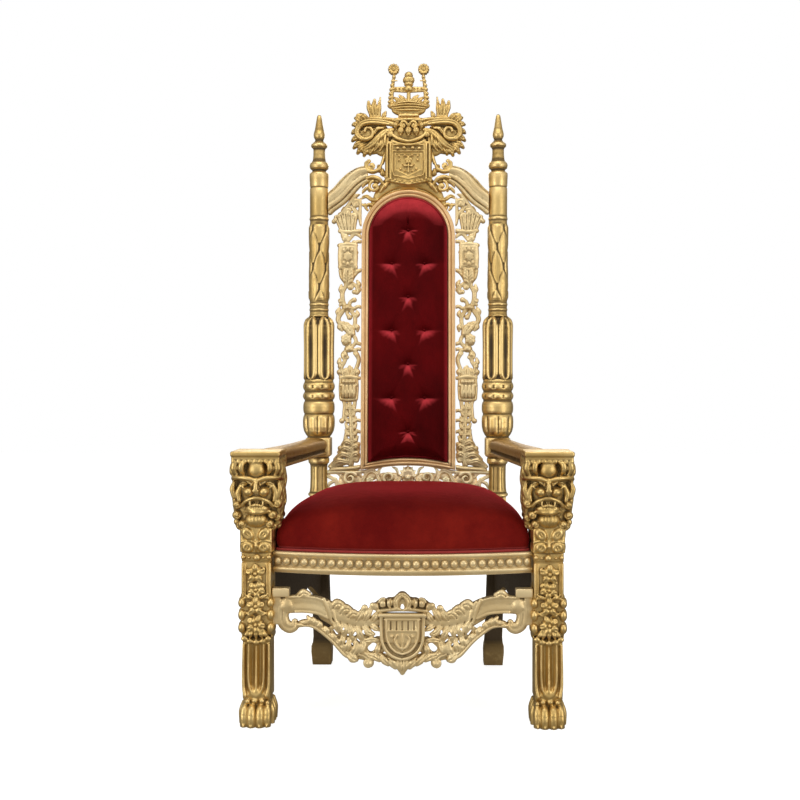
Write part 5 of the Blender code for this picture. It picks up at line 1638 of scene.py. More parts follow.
        # volute over the yoke, and the round leaf scroll under it that rolls against the arch
        clay.stroke(drawn("74.5 -8 1576, 80 -12 1550, 90 -14 1526, 110 -14 1515, 130 -12 1522, 135 -12 1540, "
                          "124 -14 1551", side), "5 5.6 6.2 6.6 6.4 6 5", soft=.0016, flat=1.4)
        curl(clay, side, (.116, 1.535), .015, 1.15, 1.2, .0046, y=-.015, way=-1, eye=1.4)
        clay.ball((side * .086, -.01, 1.52), (.01, .011, .022), turn=side * .5, soft=.002)
        clay.press(drawn("80 1538, 85 1520, 95 1506", side), .003, .004)
        clay.stroke(drawn("130 -10 1496, 112 -14 1499, 92 -16 1492, 80 -14 1478", side), "5.6 6.6 6.4 5",
                    soft=.0016, flat=1.1)
        curl(clay, side, (.106, 1.468), .0185, 1.2, 1.3, .005, y=-.014, way=-1, flat=1.1, eye=1.4)
        clay.stroke(drawn("64 -14 1480, 74 -18 1470, 88 -14 1452", side), "4 7 3.4", soft=.0012)
        # plume tufts: three broad ribbed feathers, a small leaf and a thin spike
        clay.block((side * .106 - .019, -.008, 1.684), (side * .106 + .019, .008, 1.712), edge=.004, soft=.004)
        for base, low, tip, r in ((.114, (.124, 1.722), (.127, 1.744), .009),
                                  (.106, (.109, 1.726), (.108, 1.75), .01),
                                  (.098, (.094, 1.72), (.092, 1.744), .0086)):
            clay.stroke([(side * base, -.003, 1.694), (side * low[0], -.008, low[1]),
                         (side * tip[0], -.003, tip[1])], [.007, r, .0048], soft=.0012, flat=.85)
            clay.press([(side * base, 1.7), (side * low[0], low[1]), (side * tip[0], tip[1] - .004)], .003,
                       .0036)
            clay.press([(side * base, 1.7), (side * low[0], low[1]), (side * tip[0], tip[1] - .004)], .0028,
                       .0028, y=(0.0, 1.0))
        clay.stroke(drawn("92 0 1736, 90 0 1760", side), "4.6 2.6", soft=.001)
        clay.stroke(drawn("82 -2 1686, 77 -6 1700, 72 -2 1712", side), "5.5 8 3.4", soft=.001, flat=.8)
        clay.press(drawn("82 1688, 77 1700, 73 1710", side), .0022, .0026)
    # neck: a block of leaves with two eyes, short pointed leaves that fall from it, and a swag over the shield
    clay.block((-.048, -.014, 1.628), (.048, .014, 1.69), edge=.008, soft=.003)
    clay.block((-.04, -.015, 1.676), (.04, .015, 1.6898), edge=.003, soft=.002)
    clay.stroke(drawn("-44 -16 1679, 0 -18.5 1682, 44 -16 1679"), "4 4.6 4", soft=.001)
    for side in (-1, 1):
        curl(clay, side, (.0165, 1.663), .0135, 1.15, 3.0, .0042, y=-.0185, way=-1, eye=1.1)
        clay.stroke(drawn("32 -14 1676, 41 -21 1664, 37 -15 1648", side), "3.6 7.4 3", soft=.001)
        clay.press(drawn("34 1674, 41 1664, 38 1650", side), .0022, .0026)
    for x, top, low, r in ((0.0, 1.656, 1.627, .013), (-.024, 1.654, 1.629, .0125),
                           (.024, 1.654, 1.629, .0125)):
        clay.stroke([(x * .92, -.016, top), (x, -.025, (top + low) / 2 + .003), (x * 1.04, -.023, low)],
                    [r * .5, r * .82, r * .16], soft=.001, flat=.8)
        clay.press([(x * .92, top - .004), (x * 1.04, low + .004)], .002, .0026)
    for low, ends, r in drawn("1609 1633 5.8, 1598 1614 4.2"):
        clay.stroke([(-.052, -.02, ends), (-.03, -.0235, (low + ends) / 2 - .003), (0, -.025, low),
                     (.03, -.0235, (low + ends) / 2 - .003), (.052, -.02, ends)], [r * .8, r, r, r, r * .8],
                    soft=.001)
    for side in (-1, 1):
        curl(clay, side, (.06, 1.634), .0125, 1.1, .4, .0044, y=-.02, way=1, eye=1.3)
        clay.stroke(drawn("71 -16 1634, 74 -21 1616, 70 -19 1600", side), "4 5.2 3.6", soft=.001)
    for side in (-1, 1):
        for inner, low, high in drawn("146.4 1380 1506, 139 1505 1548"):
            beyond = (inner, .19) if side > 0 else (-.19, -inner)
            clay.block((beyond[0], -.05, low), (beyond[1], .05, high), edge=0.0, soft=0.0, cut=True)
    clay.arch_cut((0, 1.312), .1462)
    clay.trim((-.1822, -.042, 1.388), (.1822, .0245, 1.7612))
    return fired(clay, .4)


def crown_mesh():
    """Open crown: lens-shaped body with laid bands, two staffs of beads with rosettes, a cap between."""
    clay = Clay((-.07, -.026, 1.69), (.07, .026, 1.872), .00145)
    clay.block((-.0335, -.014, 1.69), (.0335, .014, 1.704), edge=.006, soft=.002)
    clay.ball((0, 0.0, 1.718), (.054, .016, .0215), soft=.003)
    clay.ball((0, 0.0, 1.73), (.0665, .016, .0165), soft=.003)
    for z, half, rise, r in ((1.713, .044, -.003, .0032), (1.722, .056, .001, .0032), (1.731, .062, .004, .003),
                             (1.739, .06, .008, .0028)):
        clay.stroke([(-half, -.009, z - rise), (-half * .5, -.0155, z - rise * .3), (0, -.0175, z),
                     (half * .5, -.0155, z - rise * .3), (half, -.009, z - rise)], [.0014, r, r, r, .0014],
                    soft=.001)
    clay.stroke(drawn("-66 0 1733, -34 0 1743, 0 0 1747, 34 0 1743, 66 0 1733"), "3.4 4.6 4.8 4.6 3.4",
                soft=.002)
    for side in (-1, 1):
        # leaves that rise from the body beside the stem
        for points, r in ((drawn("8 1744, 20 1756, 33 1768"), .0078),
                          (drawn("24 1742, 36 1752, 49 1760"), .0072),
                          (drawn("40 1738, 50 1744, 58 1748"), .0055)):
            clay.stroke(flat_path(points, side, y=-.001), [r * .8, r, r * .28], soft=.0015, flat=.85)
            clay.press([(side * x, z) for x, z in points], .0022, .0026)
        # staff: smooth inner rod with a string of beads along its outer side
        clay.stroke(drawn("54 0 1740, 51.5 0 1780, 46.5 0 1835", side), "5.8 5.2 4.8", soft=.001)
        for bead in range(7):
            z = 1.744 + .0134 * bead
            x = .06 - .001 * bead - .0002 * bead * bead
            clay.ball((side * x, -.0015, z), (.0064, .0068, .0064), soft=.0006)
            if bead % 2:
                clay.stroke([(side * (x - .013), -.0046, z + .001), (side * (x + .002), -.006, z)], .0022,
                            soft=.0006)
        # rosette on top: a rim of small petals round a dished eye
        clay.ball((side * .0475, 0.0, 1.85), (.018, .0075, .018), soft=.001)
        for petal in range(12):
            turn = math.tau * petal / 12
            for y in (-.005, .0045):
                clay.ball((side * .0475 + .0138 * math.sin(turn), y, 1.85 + .0138 * math.cos(turn)),
                          (.0036, .0042, .0046), turn=turn, soft=.0008)
        clay.ball((side * .0475, -.01, 1.85), (.0096, .0062, .0096), soft=.0008, cut=True)
        clay.ball((side * .0475, -.005, 1.85), (.006, .0052, .006), soft=.0006)
        clay.ball((side * .0475, -.011, 1.85), (.0026, .004, .0026), soft=.0004, cut=True)
        # rings of the band between the staffs
        for x, r in drawn("40.5 7.2, 29 6.8, 18 6.2"):
            clay.ball((side * x, 0.0, 1.785), (r, .006, r), soft=.001)
            clay.ball((side * x, -.006, 1.785), (r * .45, .006, r * .45), soft=.0005, cut=True)
            clay.ball((side * x, .006, 1.785), (r * .45, .004, r * .45), soft=.0005, cut=True)
    clay.stroke(drawn("-52 0 1780, 0 0 1777, 52 0 1780"), .003, soft=.0012)
    clay.stroke(drawn("-50 0 1790.5, 0 0 1792, 50 0 1790.5"), .0028, soft=.0012)
    # stem, ball and ribbed cap
    clay.stroke(drawn("0 0 1735, 0 0 1778"), "8.2 5.6", soft=.002)
    clay.ball((0, -.001, 1.786), (.015, .012, .0115), soft=.001)
    clay.ball((0, 0, 1.801), (.015, .013, .007), soft=.001)
    clay.ball((0, 0, 1.815), (.019, .016, .015), soft=.0012)
    clay.ball((0, 0, 1.831), (.0135, .012, .0115), soft=.004)
    for step in range(6):
        x = (step - 2.5) * .0062
        clay.press([(x * .9, 1.804), (x, 1.815), (x * .8, 1.824)], .0015, .0014)
    clay.press(drawn("-20 1825, 20 1825"), .0018, .002)
    clay.trim((-.0672, -.023, 1.6942), (.0672, .023, 1.869))
    return fired(clay, .42)


def yoke_mesh():
    """Right-hand yoke: a broad moulding that swings from the post up to the crest, cyma-cut."""
    clay = Clay((.125, -.036, 1.38), (.262, .036, 1.552), .0018)
    middle = drawn("290 1380, 268 1402, 252.5 1416, 234.5 1429, 214 1446, 193 1470, 174 1490, 154 1505, "
                   "133 1512, 108 1513")
    clay.stroke(flat_path(middle), "33 33 31.5 31 32 32.5 31 28.5 27 27", soft=0.0, flat=.62)
    upper = [(x + .0085, z + .009) for x, z in middle]
    lower = [(x - .0125, z - .014) for x, z in middle]
    clay.stroke(flat_path(upper, y=-.013), .01, soft=.004, flat=.75)
    clay.press([(x + .0178, z + .018) for x, z in middle], .004, .003)
    clay.press(lower, .0036, .0048)
    clay.stroke(flat_path([(x - .017, z - .0185) for x, z in middle], y=-.0085), .0046, soft=.0015)
    clay.press([(x - .002, z - .003) for x, z in middle], .006, .0022)
    clay.press(lower, .0034, .0026, y=(0.0, 1.0))
    clay.press([(x + .0178, z + .018) for x, z in middle], .0034, .0024, y=(0.0, 1.0))
    clay.trim((.1272, -.034, 1.383), (.2512, .034, 1.546))
    return fired(clay, .42, .05)


def filigree_mesh():
    """Right-hand pierced panel: leaf scrolls under the yoke, then a chain of palmette, shield, leaf cup,
    open rings, flower, lyre scroll, urn and a long plume, tied to the frame by bars."""
    clay = Clay((.145, -.017, .578), (.25, .017, 1.45), .0016)
    edge = .1468  # where it meets the frame

    def rod(points, radii, soft=.001, flat=.95, y=0.0, steps=4):
        clay.stroke(flat_path(points, y=y), radii, soft=soft, flat=flat, steps=steps)

    def bead(x, z, r, deep=None):
        clay.ball((x, 0, z), (r, deep or r * 1.05, r), soft=.001)

    # spandrel: outer rib under the yoke, leaf scrolls curling off the arch
    rod(drawn("234 1360, 220 1376, 204 1392, 186 1416, 168 1440, 156 1452"), "5 4.4 4 4.4 5 5", flat=1.5)
    rod(drawn("146.8 1352, 152 1376, 150 1406, 146.8 1430"), "5 4.6 4.6 5", flat=1.3)
    curl(clay, 1, (.164, 1.416), .0145, 1.25, 3.4, .0038, y=-.002, way=-1, flat=1.2, eye=1.4)
    curl(clay, 1, (.19, 1.386), .0125, 1.15, 2.2, .0036, y=-.002, way=-1, flat=1.2, eye=1.3)
    rod(drawn("152 1378, 164 1390, 172 1402, 170 1418"), "4.2 5.2 4.6 3")
    rod(drawn("164 1378, 176 1382, 186 1376"), "4 5 3.4")
    rod(drawn("200 1378, 206 1392, 202 1403"), "4 4.4 3")
    rod(drawn("212 1374, 216 1384"), "3.6 3.4")
    rod(drawn("176 1404, 186 1406, 192 1402"), "3.2 4.2 2.6")
    # palmette of five flutes
    for index in range(5):
        share = index / 4
        top_x, low_x = .2255 - .058 * share, .209 - .036 * share
        top = 1.378 - .005 * abs(share - .5) * 2
        rod([(top_x, top), ((top_x + low_x) / 2, 1.356), (low_x, 1.33)], "6.6 6.4 4.6", flat=1.0)
        clay.press([(top_x, top + .002), ((top_x + low_x) / 2, 1.356), (low_x, 1.332)], .003, .0036)
    rod(drawn("214 1330, 192 1326, 146.8 1330"), "5 5.8 5")
    # knot of curls over the shield
    rod(drawn("206 1326, 203 1312, 195 1300, 198 1288"), "5 5.8 5 4.6")
    curl(clay, 1, (.199, 1.306), .01, 1.1, 1.2, .0034, y=-.003, way=1, eye=1.2)
    rod(drawn("192 1296, 182 1308, 170 1320, 158 1318, 146.8 1310"), "3.6 3.4 3.2 3.2 3.6")
    rod(drawn("168 1290, 160 1296, 146.8 1296"), "4 3.4 3.4")
    bead(.17, 1.293, .0058)
    # shield with a raised diaper
    clay.block((.1655, -.0085, 1.215), (.2125, .0085, 1.282), edge=.004, soft=.001)
    for x, r in drawn("165.5 3.6, 213 3.6"):
        rod([(x, 1.286), (x + (.002 if x > .19 else -.002), 1.25), (x, 1.212)], r, y=-.003)
    rod(drawn("164 1284, 189 1288, 214 1284"), "4 4.6 4", y=-.003)
    rod(drawn("164 1216, 189 1209, 214 1216"), "4 4.6 4", y=-.003)
    rosette(clay, .189, -.0085, 1.248, .012, petals=6, depth=.4)
    for x, z in drawn("176 1268, 202 1268, 176 1228, 202 1228, 189 1272, 189 1224"):
        clay.ball((x, -.009, z), (.0042, .0036, .0042), soft=.0006)
    bead(.217, 1.284, .0042)
    bead(.162, 1.262, .0038)
    # leaf cup
    acanthus(clay, 1, drawn("190 1164, 188 1182, 188 1208"), .019, lobes=4, depth=.7, y=-.002, rise=.004)
    rod(drawn("192 1164, 206 1184, 213 1204"), "5.2 6.2 3.4")
    rod(drawn("188 1166, 174 1186, 160 1201, 146.8 1206"), "5.2 6 4.6 3.6")
    rod(drawn("170 1190, 164 1210"), "4 3.6")
    # open ring with a curl and a bead inside
    rod(drawn("188 1164, 196 1154, 205 1138, 206 1122, 203 1106, 196 1092"), "4 4.2 5 5 4.4 4.4")
    curl(clay, 1, (.182, 1.152), .0085, 1.0, 1.4, .003, way=1, flat=1.1, eye=1.2)
    rod(drawn("174 1164, 164 1156, 154 1146, 160 1134, 169 1138"), "3.4 3.6 3.8 3.6 3")
    bead(.169, 1.137, .0052)
    bead(.169, 1.112, .006)
    rod(drawn("146.8 1144, 156 1145"), .0034)
    rod(drawn("169 1112, 180 1106, 186 1092"), "3.8 3.6 3.8")
    # crossing with a bar to the frame, then the lower ring
    clay.ball((.1905, 0, 1.088), (.0145, .01, .0085), soft=.002)
    bead(.19, 1.088, .0064, .0125)
    rod(drawn("188 1090, 170 1084, 158 1091, 146.8 1089"), "4.2 3.6 3.2 3.4")
    rod(drawn("206 1100, 212 1096"), "3.4 3")
    rod(drawn("196 1088, 208 1072, 218 1056, 216 1042, 204 1034, 195 1022"), "4.4 5 5.6 5.2 4.6 4.2")
    rod(drawn("186 1086, 174 1072, 166 1056, 166 1038, 170 1022, 172 1010"), "4.2 4 4 3.8 3.8 4.4")
    bead(.183, 1.057, .0062)
    rod(drawn("183 1057, 190 1068, 191 1080"), "3.6 3.4 3.6")
    acanthus(clay, 1, drawn("202 1036, 190 1026, 176 1008"), .013, lobes=4, depth=.75, y=-.002, rise=.003)
    bead(.1935, 1.02, .0062, .01)
    # flower with volutes
    clay.ball((.176, 0, 1.006), (.01, .009, .0085), soft=.002)
    rosette(clay, .193, -.004, .988, .0145, petals=6, depth=.5)
    curl(clay, 1, (.196, .98), .013, 1.1, 1.2, .0036, y=-.001, way=1, flat=1.1, eye=1.2)
    rod(drawn("182 1000, 184 984, 183 970, 186 958"), "5.2 4.6 4.4 5")
    rod(drawn("172 1002, 164 990, 160 978, 146.8 973"), "4.2 3.6 3.4 3.6")
    rod(drawn("162 979, 170 970, 180 962"), "3.4 3.6 4")
    # crossing and the open lyre
    clay.ball((.184, 0, .958), (.013, .0095, .009), soft=.002)
    rod(drawn("184 960, 195 950, 203 940, 198 929, 189 932"), "4 4.4 4.6 4.4 3.6")
    bead(.196, .94, .0068)
    rod(drawn("194 930, 199 916, 206 906, 208 894, 201 880"), "3.6 3.8 4.6 4.2 4")
    bead(.2105, .903, .006)
    rod(drawn("178 958, 166 952, 157 938, 153 924, 157 908, 162 895, 170 876"), "4 3.8 4 4.4 4 3.8 4.2")
    rod(drawn("146.8 956, 156 958, 166 954"), "3.2 3 3.2")
    rod(drawn("188 878, 186 892, 182 904"), "4.4 4 1.8")
    rod(drawn("178 876, 174 888, 176 900"), "3.4 3.6 1.6")
    rod(drawn("196 876, 194 886"), "3.6 2")
    # urn
    clay.block((.161, -.0085, .807), (.207, .0085, .864), edge=.005, soft=.001)
    rod(drawn("159 868, 184 871, 209 868"), "4.2 5 4.2", y=-.002)
    rod(drawn("159 845, 184 847, 209 845"), "3 3.4 3", y=-.005)
    rod(drawn("162 802, 184 799, 206 802"), "4 4.8 4", y=-.002)
    for index in range(4):
        x = .1672 + .0112 * index
        clay.stroke([(x, -.008, .84), (x, -.01, .824), (x, -.008, .809)], "3.6 4.6 3", soft=.0008)
        clay.ball((x, -.009, .856), (.004, .0036, .005), soft=.0006)
    for x in (.16, .208):
        rod([(x, .864), (x + (.002 if x > .19 else -.002), .838), (x, .804)], .003, y=-.002)
    rod(drawn("146.8 867, 160 867"), .0034)
    # long plume under the urn: centre stem and hanging leaves, wider towards its foot
    rod(drawn("183 800, 179 770, 175 730, 173 690, 171 640, 176 602"), "4 4.8 5.6 6 6.6 7")
    rod(drawn("200 799, 196 784, 197 764, 199 744, 203 735"), "3.6 3.6 3.8 3.6 4")
    bead(.2045, .7345, .0062)
    rod(drawn("164 799, 166 780, 170 760, 172 742"), "3.6 3.4 3.6 4")
    for index in range(9):
        z = .776 - .02 * index
        x = .1795 - .001 * index
        reach = .0125 + .0012 * index
        for way in (-1, 1):
            if way < 0 and x - reach < edge + .004:
                reach = x - edge - .004
            rod([(x, z), (x + way * reach * .62, z - .003), (x + way * reach, z + .01)],
                [.0034, .0044 + .0002 * index, .0018], flat=1.0, y=-.001, steps=3)
            clay.press([(x + way * .002, z), (x + way * reach * .62, z - .003),
                        (x + way * reach * .9, z + .006)], .0015, .0018)
    for z in (.765, .735, .7, .662):
        rod([(edge, z), (.156, z + .002), (.168, z - .002)], "3.2 2.8 3.4")
    rod(drawn("180 706, 189 700, 193 684, 195 666"), "3.6 3.6 3.4 4")
    bead(.196, .6615, .0066)
    # foot: leaves that spread to the post, the lower the longer
    for points in (drawn("177 664, 190 669, 204 660"), drawn("178 644, 196 650, 215 638"),
                   drawn("180 624, 202 631, 227 616"), drawn("186 606, 214 611, 243 594"),
                   drawn("170 652, 160 656, 151 646"), drawn("170 628, 160 633, 150 622")):
        rod(points, "5.2 8.8 1.8", flat=.9, y=-.002)
        clay.press(points, .0018, .0026)
    bead(.209, .65, .006)
    rod(drawn("146.8 628, 160 620, 176 612, 196 606, 220 598, 235 594"), "4.4 5.6 6 6.2 6 6")
    rod(drawn("146.8 592, 170 588, 200 586, 235 584"), "6 6 6 6", flat=1.4)
    # leaves that lie along the open scrolls
    for points in (drawn("205 1132, 211 1144, 209 1158"), drawn("205 1118, 211 1108, 215 1112"),
                   drawn("160 1146, 154 1160, 160 1172"), drawn("216 1060, 220 1074, 214 1086"),
                   drawn("166 1056, 158 1066, 160 1076"), drawn("212 1040, 214 1026, 206 1016"),
                   drawn("166 1034, 158 1026, 158 1014"), drawn("154 926, 160 940, 168 944"),
                   drawn("206 906, 214 916, 212 928"), drawn("162 896, 156 886, 158 876"),
                   drawn("207 892, 214 886, 212 876"), drawn("200 872, 198 888, 193 896")):
        rod(points, "3 5.4 1.6", flat=.9, y=-.001, steps=3)
        clay.press(points, .0015, .0018, steps=3)
    clay.field -= .0023
    clay.trim((.147, -.0155, .58), (.248, .0155, 1.447))
    return fired(clay, .36, .06)


def lower_tracery_mesh():
    """Band under the frame: scrolls with deep eyes, lens-shaped openings over them, a middle palmette."""
    clay = Clay((-.252, -.018, .431), (.252, .018, .612), .0018)
    clay.block((-.24, -.0115, .4325), (.24, .0115, .464), edge=.003, soft=.002)
    clay.press(drawn("-240 456, 240 456"), .0026, .0026)
    clay.stroke(drawn("-240 -4 466, 0 -4 468, 240 -4 466"), .004, soft=.001)
    for side in (-1, 1):
        clay.stroke(drawn("0 602, 35 601, 70 597.5, 105 589.5, 132 579, 160 576.5, 195 577, 250 576", side,
                          y=0), "5.2 5.2 5.2 5.2 5.4 5.6 6.2 6.8", soft=.0015, flat=1.4)
        # thin ground behind the scrolls
        for points, radii in ((drawn("42 556, 74 556"), .02), (drawn("162 554, 194 554"), .019),
                              (drawn("0 548, 0 576"), .018), (drawn("106 564, 126 556"), .012)):
            clay.stroke([(side * x, .0035, z) for x, z in points], radii, soft=.001, flat=.34)
        wave = drawn("0 530, 20 530, 44 529, 74 535, 90 554, 98 574, 112 580, 128 572, 138 552, 156 533, "
                     "182 529, 208 538, 226 554, 246 564")
        clay.stroke(flat_path(wave, side, y=-.001), .006, soft=.0015, flat=1.2, steps=5)
        clay.press([(side * x, z) for x, z in wave], .0022, .0024, steps=5)
        for x, z, r, way, start in ((.058, .56, .0215, 1, 3.6), (.178, .557, .0205, -1, 2.6)):
            curl(clay, side, (x, z), r, 1.35, start, .0056, y=-.004, way=way, flat=1.1, eye=1.2)
            clay.ball((side * x, -.007, z), (.007, .008, .007), soft=.001, cut=True)
        rosette(clay, side * .117, -.006, .552, .0125, petals=6, depth=.45)
        for points, r in ((drawn("30 570, 36 586, 48 592"), .005), (drawn("86 566, 90 580, 82 590"), .0052),
                          (drawn("100 548, 106 536, 118 532"), .0054),
                          (drawn("142 562, 150 572, 160 574"), .005),
                          (drawn("206 560, 212 570, 224 574"), .005),
                          (drawn("226 548, 240 542, 246 528"), .006),
                          (drawn("222 530, 236 524, 244 510"), .0058),
                          (drawn("132 546, 138 536, 150 528"), .005), (drawn("28 548, 22 558, 26 570"), .005)):
            clay.stroke(flat_path(points, side, y=-.002), [r * .7, r, r * .45], soft=.001, flat=1.0)
        for turn, reach in ((0.0, .034), (.42, .033), (.86, .031), (1.32, .027)):
            tip = (math.sin(turn) * reach, .562 + math.cos(turn) * reach)
            middle = (math.sin(turn) * reach * .6, .562 + math.cos(turn) * reach * .6)
            clay.stroke(flat_path([(0, .562), middle, tip], side, y=-.0045), "3 6 2.6", soft=.0008, flat=.9)
            clay.press([(side * middle[0], middle[1]), (side * tip[0], tip[1])], .0018, .0022)
        for points in (drawn("20 470, 14 496, 20 526"), drawn("60 470, 72 496, 60 526"),
                       drawn("98 470, 90 500, 98 546"), drawn("140 470, 150 500, 142 544"),
                       drawn("178 470, 170 500, 176 528"), drawn("222 470, 212 500, 224 556")):
            clay.stroke(flat_path(points, side), "6 5.2 5.2", soft=.0015, flat=1.3)
        for x, z, dx, dz in ((.014, .5, .02, .014), (.072, .498, -.02, .012), (.072, .498, .016, .014),
                             (.092, .5, -.012, .016), (.15, .5, .018, .012), (.15, .5, -.02, .01),
                             (.172, .5, .02, .012), (.214, .5, -.016, .014)):
            clay.stroke(flat_path([(x, z), (x + dx * .6, z + dz * .3), (x + dx, z + dz)], side, y=-.001),
                        "3.4 5.2 2", soft=.001, flat=1.0, steps=3)
    clay.stroke(drawn("0 0 468, 0 -1 562"), "7.6 5.6", soft=.002, flat=1.2)
    clay.ball((0, -.008, .56), (.0075, .006, .0075), soft=.001)
    clay.trim((-.249, -.017, .4315), (.249, .015, .608))
    # nothing rises past the underside of the frame, and beside it the filigree stands on the band
    x, z = clay.line(0), clay.line(2)
    top = np.interp(np.abs(x), (0, .035, .07, .105, .135, .15, .236),
                    (.6072, .6058, .602, .594, .5845, .583, .5848))
    np.maximum(clay.field, (z[None, :] - top[:, None])[:, None, :].astype(np.float32), out=clay.field)
    return fired(clay, .36)


APRON_Y = -.333


def front_apron_mesh():
    """Broad scroll arms that turn into leaves beside a shield, with a leaf strand under them and a coronet."""
    clay = Clay((-.328, -.026, .114), (.328, .018, .345), .0017)

    def rod(side, points, radii, soft=.0012, flat=.95, y=0.0, steps=4):
        clay.stroke(flat_path(points, side, y), radii, soft=soft, flat=flat, steps=steps)

    def lobe(side, points, r, groove=.0032):
        """A leaf lobe that swells and turns over, with a groove up its middle."""
        y = -.004
        (x0, z0), (x1, z1), (x2, z2) = points
        clay.stroke([(side * x0, y + .003, z0), (side * x1, y - .0025, z1), (side * x2, y + .001, z2)],
                    [r * .95, r * 1.24, r * .72], soft=.0012, flat=.72)
        clay.press([(side * x0, z0), (side * x1, z1), (side * (x1 + 2 * x2) / 3, (z1 + 2 * z2) / 3)], r * .3,
                   groove * .8)

    def web(side, points, radii):
        """A thin ground behind the leaves, that ties them together."""
        clay.stroke(flat_path(points, side, y=.003), radii, soft=.001, flat=.3)

    def slot(side, start, end, r):
        clay.stroke([(side * start[0], .003, start[1]), (side * end[0], .003, end[1])], r, soft=.0015, flat=4.0,
                    cut=True)

    # shield: moulded rim and field, pales across the chief
    clay.block((-.052, -.012, .202), (.052, .011, .276), edge=.004, soft=.002)
    clay.ball((0, -.0005, .208), (.0515, .0115, .046), soft=.002)
    rim = drawn("0 162, 22 169, 40 184, 50 206, 52.5 236, 53 274")
    inner = drawn("0 176, 17 182, 30 195, 38.5 214, 40 238, 40 260")
    for side in (-1, 1):
        rod(side, rim, .0044, y=-.012)
        rod(side, inner, .0028, y=-.013)
        clay.press([(side * (a + c) / 2, (b + d) / 2) for (a, b), (c, d) in zip(rim, inner)], .004, .003)
        for x in (.0145, .029):
            clay.press([(side * x, .2555), (side * x, .237)], .0042, .0046)
    clay.press(drawn("0 255.5, 0 237"), .0042, .0046)
    for z, half, r in drawn("272.5 56 5.4, 262 44 2.4, 233 40 1.8"):
        clay.stroke([(-half, -.012, z), (half, -.012, z)], r, soft=.0008)
    clay.dent((0, .206), (.032, .026), -.0018)
    for side in (-1, 1):
        rod(side, drawn("0 188, 12 196, 19 212, 12 224"), [.002, .0036, .003, .0016], y=-.014)
        clay.ball((side * .026, -.013, .22), (.004, .0034, .005), soft=.0006)
    rod(1, drawn("0 186, 0 226"), [.0026, .004, .0024], y=-.014)
    # coronet: side lobes, a pair of arched leaves that meet over an opening, and a bar under them
    rod(1, drawn("-60 281.5, -30 285, 0 286, 30 285, 60 281.5"), .0056, y=-.003, flat=1.4)
    clay.ball((0, -.004, .3235), (.012, .011, .0082), soft=.002)
    web(1, drawn("-56 296, 0 301, 56 296"), [.013, .019, .013])
    clay.stroke(drawn("0 3 290, 0 3 296"), "5.2 3", soft=.001, flat=4.0, cut=True)
    for side in (-1, 1):
        rod(side, drawn("2 323, 11 316, 16.5 304, 15 290"), [.007, .0082, .0086, .007], y=-.004, flat=1.1)
        clay.press(drawn("2 324, 13 315, 18 303, 16 292", side), .0028, .0032)
        clay.ball((side * .033, -.003, .304), (.0105, .0105, .0125), soft=.002)
        clay.ball((side * .049, -.003, .303), (.0125, .0105, .0125), soft=.002)
        curl(clay, side, (.048, .303), .012, 1.2, 2.4, .004, y=-.011, way=-1, eye=1.3)
        clay.stroke(drawn("30 -10 290, 35 -15 304, 30 -10 314", side), "2.6 5 2.2", soft=.0008)
        clay.press(drawn("40.5 315, 40 296", side), .0026, .005)
        clay.ball((side * .066, -.003, .293), (.01, .009, .011), soft=.001)
        clay.press(drawn("58 302, 57 288", side), .0024, .0044)
        # arm: a broad smooth band that hooks down at the leg and breaks into leaves near the shield
        arm = drawn("290 296, 266 298.5, 244 298.5, 212 294.5, 186 283, 160 269, 135 257.5, 110 252, 85 252, "
                    "50 254")
        rod(side, arm, [.0225, .0232, .0236, .0238, .024, .0215, .018, .015, .012, .011], soft=.002, flat=.5)
        clay.press([(side * x, z + .002) for x, z in arm[:5]], .015, .0034)
        rod(side, [(x, z + .019) for x, z in arm[:5]], .0034, y=-.0085)
        rod(side, [(x + .001, z - .0185) for x, z in arm[1:5]], .0032, y=-.0085)
        hook = drawn("290 296, 300 284, 301 266, 296 248, 283 239, 271 243, 270 253")
        rod(side, hook, [.02, .0165, .0158, .016, .015, .012, .0086], soft=.002, flat=.75)
        clay.press([(side * x, z) for x, z in hook[1:]], "7 7 7 6 4", .0026)
        low, high = sorted((side * .305, side * .326))
        clay.block((low, -.011, .248), (high, .012, .34), edge=.003, soft=.004)
        low, high = sorted((side * .283, side * .326))
        clay.block((low, -.015, .317), (high, .0125, .3395), edge=.003, soft=.001)
        # small leaf riding on the arm
        lobe(side, drawn("260 318, 248 326, 234 323"), .009)
        web(side, drawn("190 276, 150 256, 110 252, 70 252"), [.023, .024, .019, .016])
        web(side, drawn("178 230, 150 206, 120 196, 90 196, 52 196"), [.012, .022, .027, .026, .02])
        web(side, drawn("118 170, 90 166, 50 164, 10 150"), [.01, .011, .011, .013])
        # cuff where the band turns into leaves
        rod(side, drawn("196 312, 185 288, 176 254"), [.0044, .006, .004], y=-.009)
        rod(side, drawn("184 306, 174 282, 166 250"), [.0036, .005, .0034], y=-.0095)
        for points, r in ((drawn("176 286, 164 300, 150 298"), .0105),
                          (drawn("156 274, 143 288, 130 285"), .01),
                          (drawn("136 264, 124 276, 112 272"), .0092),
                          (drawn("116 258, 106 272, 97 287"), .0078), (drawn("96 256, 86 274, 76 292"), .0072),
                          (drawn("76 256, 68 268, 64 276"), .007), (drawn("174 264, 164 244, 162 228"), .009),
                          (drawn("156 256, 146 235, 146 218"), .0088),
                          (drawn("138 250, 128 230, 124 212"), .0086),
                          (drawn("118 246, 108 228, 100 214"), .008), (drawn("98 246, 86 230, 72 222"), .0076),
                          (drawn("78 246, 68 240, 56 234"), .0066)):
            lobe(side, points, r)
        curl(clay, side, (.093, .29), .0085, 1.1, 4.4, .0036, y=-.005, way=1, flat=1.1, eye=1.3)
        curl(clay, side, (.073, .296), .008, 1.1, 4.4, .0034, y=-.005, way=1, flat=1.1, eye=1.3)
